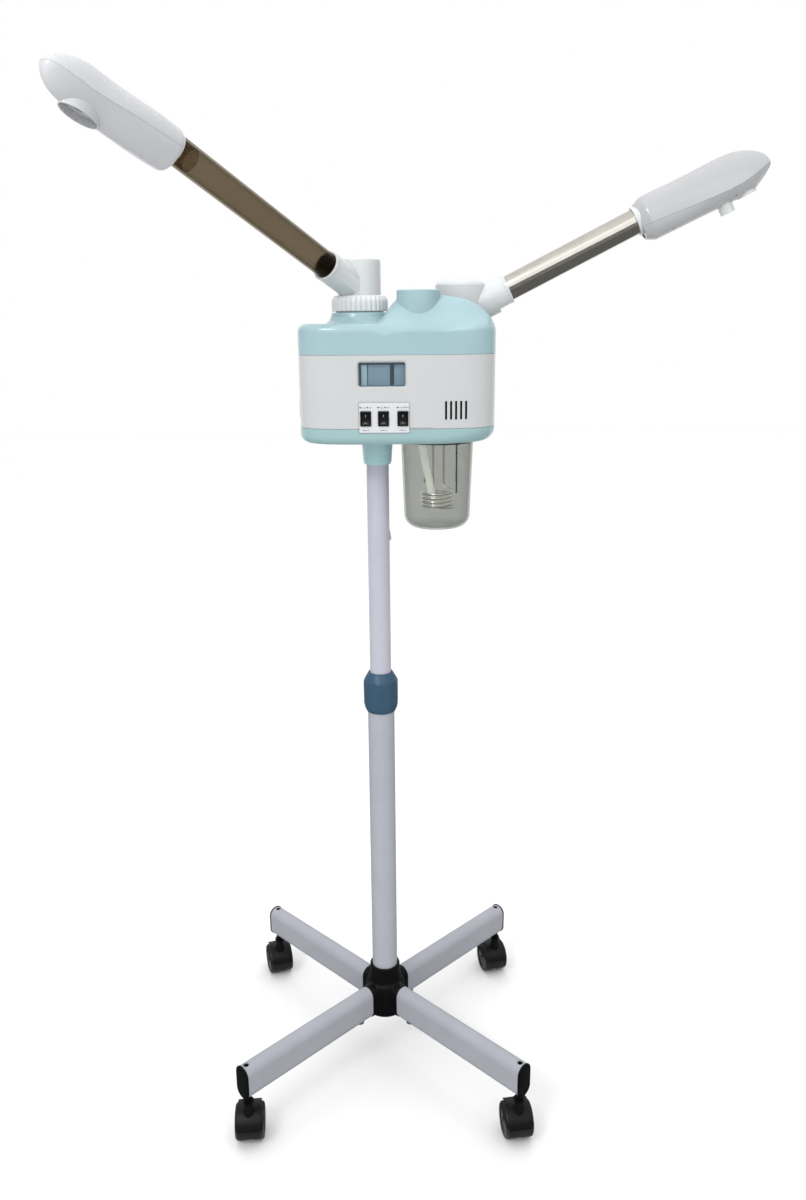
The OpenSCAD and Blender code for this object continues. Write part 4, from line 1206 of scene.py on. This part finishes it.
LEGS = ["leg_fl", "leg_fr", "leg_bl", "leg_br"]
LEG_W, LEG_H = 25, 50


def flat_oval(grow, count=24):
    """Outline of a leg tube, standing on its narrow end."""
    r = LEG_W / 2 + grow
    mid = (LEG_H - LEG_W) / 2
    pts = []
    for start, middle_y in ((0, mid), (math.pi, -mid)):
        for k in range(count + 1):
            a = start + math.pi * k / count
            pts.append((r * math.cos(a), middle_y + r * math.sin(a)))
    return pts


def leg_loops(*steps):
    """Loops of a leg's outline, one for each distance from the pole and growth."""
    return [raise_to(flat_oval(grow), z) for z, grow in steps]


def leg_place(name):
    """Matrix whose Z runs out along a leg through the middle of its section."""
    lo, hi = node_box(name)
    az = math.atan2((lo[1] + hi[1]) / 2, (lo[0] + hi[0]) / 2)
    mid_z = (lo[2] + hi[2]) / 2
    return (Matrix.Rotation(az, 4, "Z") @ Matrix.Translation((0, 0, mid_z * MM))
            @ Matrix.Rotation(math.pi / 2, 4, "X") @ Matrix.Rotation(math.pi / 2, 4, "Y"))




def build_hub():
    """Ribbed casting whose four sockets take the legs."""
    z0, z1 = (corner[2] for corner in node_box("hub"))
    core = revolve("core", [
        (0, z0), (30, z0), (30, 120), (28.5, 127.5), (25.2, 132), (24, 138), (22.6, z1), (19.1, z1),
        (19.1, z0 + 12), (0, z0 + 12),
    ], (0, 0), 1.6, 160, steps=6)
    for name in LEGS:
        loops = leg_loops((0, 1.5), (35, 1.5), (37.4, 1.2), (38, 0.6))
        boolean(core, loft("arm", loops, leg_place(name)), "UNION")
    for k in range(4):
        az = math.radians(90 * k)
        for off in (-10, -3.5, 3.5, 10):
            a = az + math.radians(off * 1.9)
            rib = cylinder("rib", 1.1, (29.9 * math.cos(a), 29.9 * math.sin(a), z0 + 3),
                           (29.9 * math.cos(a), 29.9 * math.sin(a), 119), 20)
            boolean(core, rib, "UNION")
    remesh(core, 0.9, 3)
    boolean(core, cylinder("bore", 19.1, (0, 0, z0 + 12), (0, 0, 300), 128), sharp=50)
    piece(core, "black", "stand", "black_plastic", "hub")


def build_leg_caps():
    """Thin domed caps that close the outer ends of the legs."""
    caps = []
    for name in LEGS:
        loops = leg_loops((273.6, -0.6), (274.1, 0.5), (274.7, 0.8), (275.8, 0.8), (276.5, 0.2),
                          (276.8, -1.2))
        caps.append(loft("cap", loops, leg_place(name), sharp=50))
    piece(join(caps, "leg_caps"), "black", "stand", "black_plastic", "leg_end_caps")


def bent(section, steps):
    """Loops of a (r, z) section carried round the axle, over the hood's part of the turn."""
    start, stop = math.radians(76), math.radians(216)
    loops = []
    for k in range(steps + 1):
        a = start + (stop - start) * k / steps
        loops.append([(r * math.cos(a), r * math.sin(a), z) for r, z in section])
    return loops


def castor_place(c):
    """Matrix at the floor under a castor's stem, with X along its axle."""
    swivel = joint(f"castor_swivel_{c}")
    wheel = joint(f"wheel_roll_{c}")
    yaw = math.atan2(wheel["axis"][1], wheel["axis"][0])
    return Matrix.Translation((*swivel["pos_m"][:2], 0)) @ Matrix.Rotation(yaw, 4, "Z")


def build_castor(c):
    """Twin wheels, and the crescent, web and neck that carry them."""
    place = castor_place(c)
    trail, radius, gap, width = 12.0, 25.0, 7.0, 40.0
    rim = (width - gap) / 2
    axle = place @ Matrix.Translation((0, -trail * MM, radius * MM)) @ ALONG
    wheels = []
    for side in (1, -1):
        face = axle @ Matrix.Scale(side, 4, (0, 0, 1))
        z = gap / 2
        wheels.append(revolve("wheel", [
            (3.1, z), (24, z), (25, z + 1.4), (25, z + rim - 4.5), (24.2, z + rim - 1.6), (22.4, z + rim),
            (17.5, z + rim), (15.8, z + rim - 1.6), (7, z + rim - 1.2), (5.6, z + rim - 0.4), (3.1,
                                                                                               z + rim - 0.6),
        ], (0, 0), 1.0, 128, face))
    piece(join(wheels, f"castor_wheels_{c}"), "wheel", f"wheels_{c}", "wheel_black", f"caster_wheels_{c}")
    section = round_corners([(26.3, -16.6), (28.0, -16.6), (28.3, 0), (28.0, 16.6), (26.3, 16.6)], 0.8, 4)
    hood = loft("hood", bent(section, 50), axle)
    web = revolve("web", [(3.05, -3.2), (24.3, -3.2), (24.3, 3.2), (3.05, 3.2)], (0, 0), 0.4, 96, axle)
    boolean(hood, web, "UNION")
    arm = bent([(20, -3), (26.6, -3), (26.6, 3), (20, 3)], 24)
    boolean(hood, loft("arm", arm, axle), "UNION")
    neck = revolve("neck", [(0, 36), (6.6, 36), (6.6, 54), (6.2, 58), (6.2, 68), (0, 68)], (0, 0), 0.8, 64,
                   place)
    boolean(hood, neck, "UNION")
    piece(hood, "hood", f"castor_{c}", "black_plastic", f"caster_hood_{c}")


build_hub()
build_leg_caps()
for corner_name in ("fl", "fr", "bl", "br"):
    build_castor(corner_name)

dress("silver_low", "lower_pole")
dress("silver_leg", "leg_fl", "leg_fr", "leg_bl", "leg_br")
dress("silver", "upper_pole")
dress("white_part", "clamp_collet", "boiler_flange")
dress("black", "caster_stems")
dress("steel", "base_bolts", "caster_axle_fl", "caster_axle_fr", "caster_axle_bl", "caster_axle_br")
# The CAD tank takes the glowing tank look: painted light.
dress("tank", "mist_tank")
# Slabs behind the window in the lit and mid glowing copies of the tank plastic: painted light and painted
# shade for the tank's inside.
for part, look, west, east, low_edge in (
    ("tank_rib_left", "tank_painted_light", -17, -9.5, 1039), ("tank_float", "tank_painted_mid_light", -8.5, 19, 1040.5),
    ("tank_wall_right", "tank_painted_mid_light", 24, 42, 1040.5),
):
    piece(block(part, (west, FRONT + 11, low_edge), (east, FRONT + 13, 1066), 1.2), look, "head",
          "tank_plastic")
dress("brass", "mist_transducer")
dress("switch", "fan_frame", "fan_rotor", "power_inlet")
dress("core", "transformer")
dress("green", "circuit_board")


# ---------------------------------------------------------------- camera, floor and light

scene = bpy.context.scene
scene.view_settings.view_transform = "Standard"

camera_data = bpy.data.cameras.new("camera")
camera_data.lens = 29.86
camera_data.sensor_width = 36
camera_data.clip_end = 50
camera = bpy.data.objects.new("camera", camera_data)
camera.matrix_world = (
    Matrix.Translation((0.0327, -1.340, 1.119))
    @ Matrix.Rotation(math.radians(90 - 15.72), 4, "X")
    @ Matrix.Rotation(math.radians(-0.466), 4, "Z")
)
scene.collection.objects.link(camera)
scene.camera = camera


def area(name, place, target, size, power):
    """Soft rectangular lamp that the camera doesn't see."""
    data = bpy.data.lights.new(name, "AREA")
    data.shape = "RECTANGLE"
    data.size, data.size_y = size
    data.energy = power
    lamp = bpy.data.objects.new(name, data)
    lamp.location = place
    lamp.rotation_euler = (Vector(target) - Vector(place)).to_track_quat("-Z", "Y").to_euler()
    lamp.visible_camera = False
    scene.collection.objects.link(lamp)


area("key", (-1.3, -2.0, 2.5), (0, 0, 1.0), (1.0, 0.4), 30)
area("top", (0.1, 0.3, 3.2), (0, 0, 0.5), (1.6, 1.0), 14)


def card(name, place, target, size, level):
    """Grey reflector for the bright metal, seen only in reflections."""
    bpy.ops.mesh.primitive_plane_add(size=1, location=place)
    obj = bpy.context.object
    obj.name = name
    obj.scale = (*size, 1)
    obj.rotation_euler = (Vector(target) - Vector(place)).to_track_quat("Z", "Y").to_euler()
    look = Look(name, Roughness=1.0)
    look.tint(look.noise(2, 2), (level, level, level, 1), 0.02)
    obj.data.materials.append(look.mat)
    obj.visible_camera = obj.visible_diffuse = obj.visible_shadow = obj.visible_transmission = False


card("card_front", (0.2, -2.3, 0.62), (0.2, 0, 0.62), (14.0, 1.24), 0.26)
card("card_floor", (0.2, -0.4, 0.03), (0.2, -0.4, 1.0), (14.0, 3.8), 0.10)
card("card_ceiling", (0.2, 0.4, 2.9), (0.2, 0.4, 0.0), (9.0, 4.4), 1.0)


def studio_world(above, front, sides):
    """White surround, brighter overhead and on the photographer's side, darker at both ends."""
    world = bpy.data.worlds.new("studio")
    world.use_nodes = True
    nodes, links = world.node_tree.nodes, world.node_tree.links
    split = nodes.new("ShaderNodeSeparateXYZ")
    links.new(nodes.new("ShaderNodeTexCoord").outputs["Generated"], split.inputs["Vector"])
    width = nodes.new("ShaderNodeMath")
    width.operation = "ABSOLUTE"
    links.new(split.outputs["X"], width.inputs[0])
    total = None
    for source, start, end, gain in (
        (split.outputs["Z"], 0.25, 0.95, above), (split.outputs["Y"], -0.1, -0.8, front),
        (width.outputs["Value"], 0.4, 0.95, -sides),
    ):
        part = nodes.new("ShaderNodeMapRange")
        part.interpolation_type = "SMOOTHSTEP"
        part.inputs["From Min"].default_value = start
        part.inputs["From Max"].default_value = end
        part.inputs["To Min"].default_value = 1 / 3
        part.inputs["To Max"].default_value = 1 / 3 + gain
        links.new(source, part.inputs["Value"])
        if total is None:
            total = part.outputs["Result"]
        else:
            add = nodes.new("ShaderNodeMath")
            links.new(total, add.inputs[0])
            links.new(part.outputs["Result"], add.inputs[1])
            total = add.outputs["Value"]
    links.new(total, nodes["Background"].inputs["Strength"])
    nodes["Background"].inputs["Color"].default_value = (1, 1, 1, 1)
    return world


scene.world = studio_world(0.6, 0.65, 0.5)

floor_look = Look("studio_floor")
floor_look.tint(floor_look.noise(2, 2), (0.70, 0.70, 0.702, 1), 0.004)
floor_look.rough(floor_look.noise(3, 2), 0.8, 0.9)
bpy.ops.mesh.primitive_plane_add(size=14, location=(0, 2.0, 0))
floor = bpy.context.object
floor.name = "studio_floor"
floor.data.materials.append(floor_look.mat)
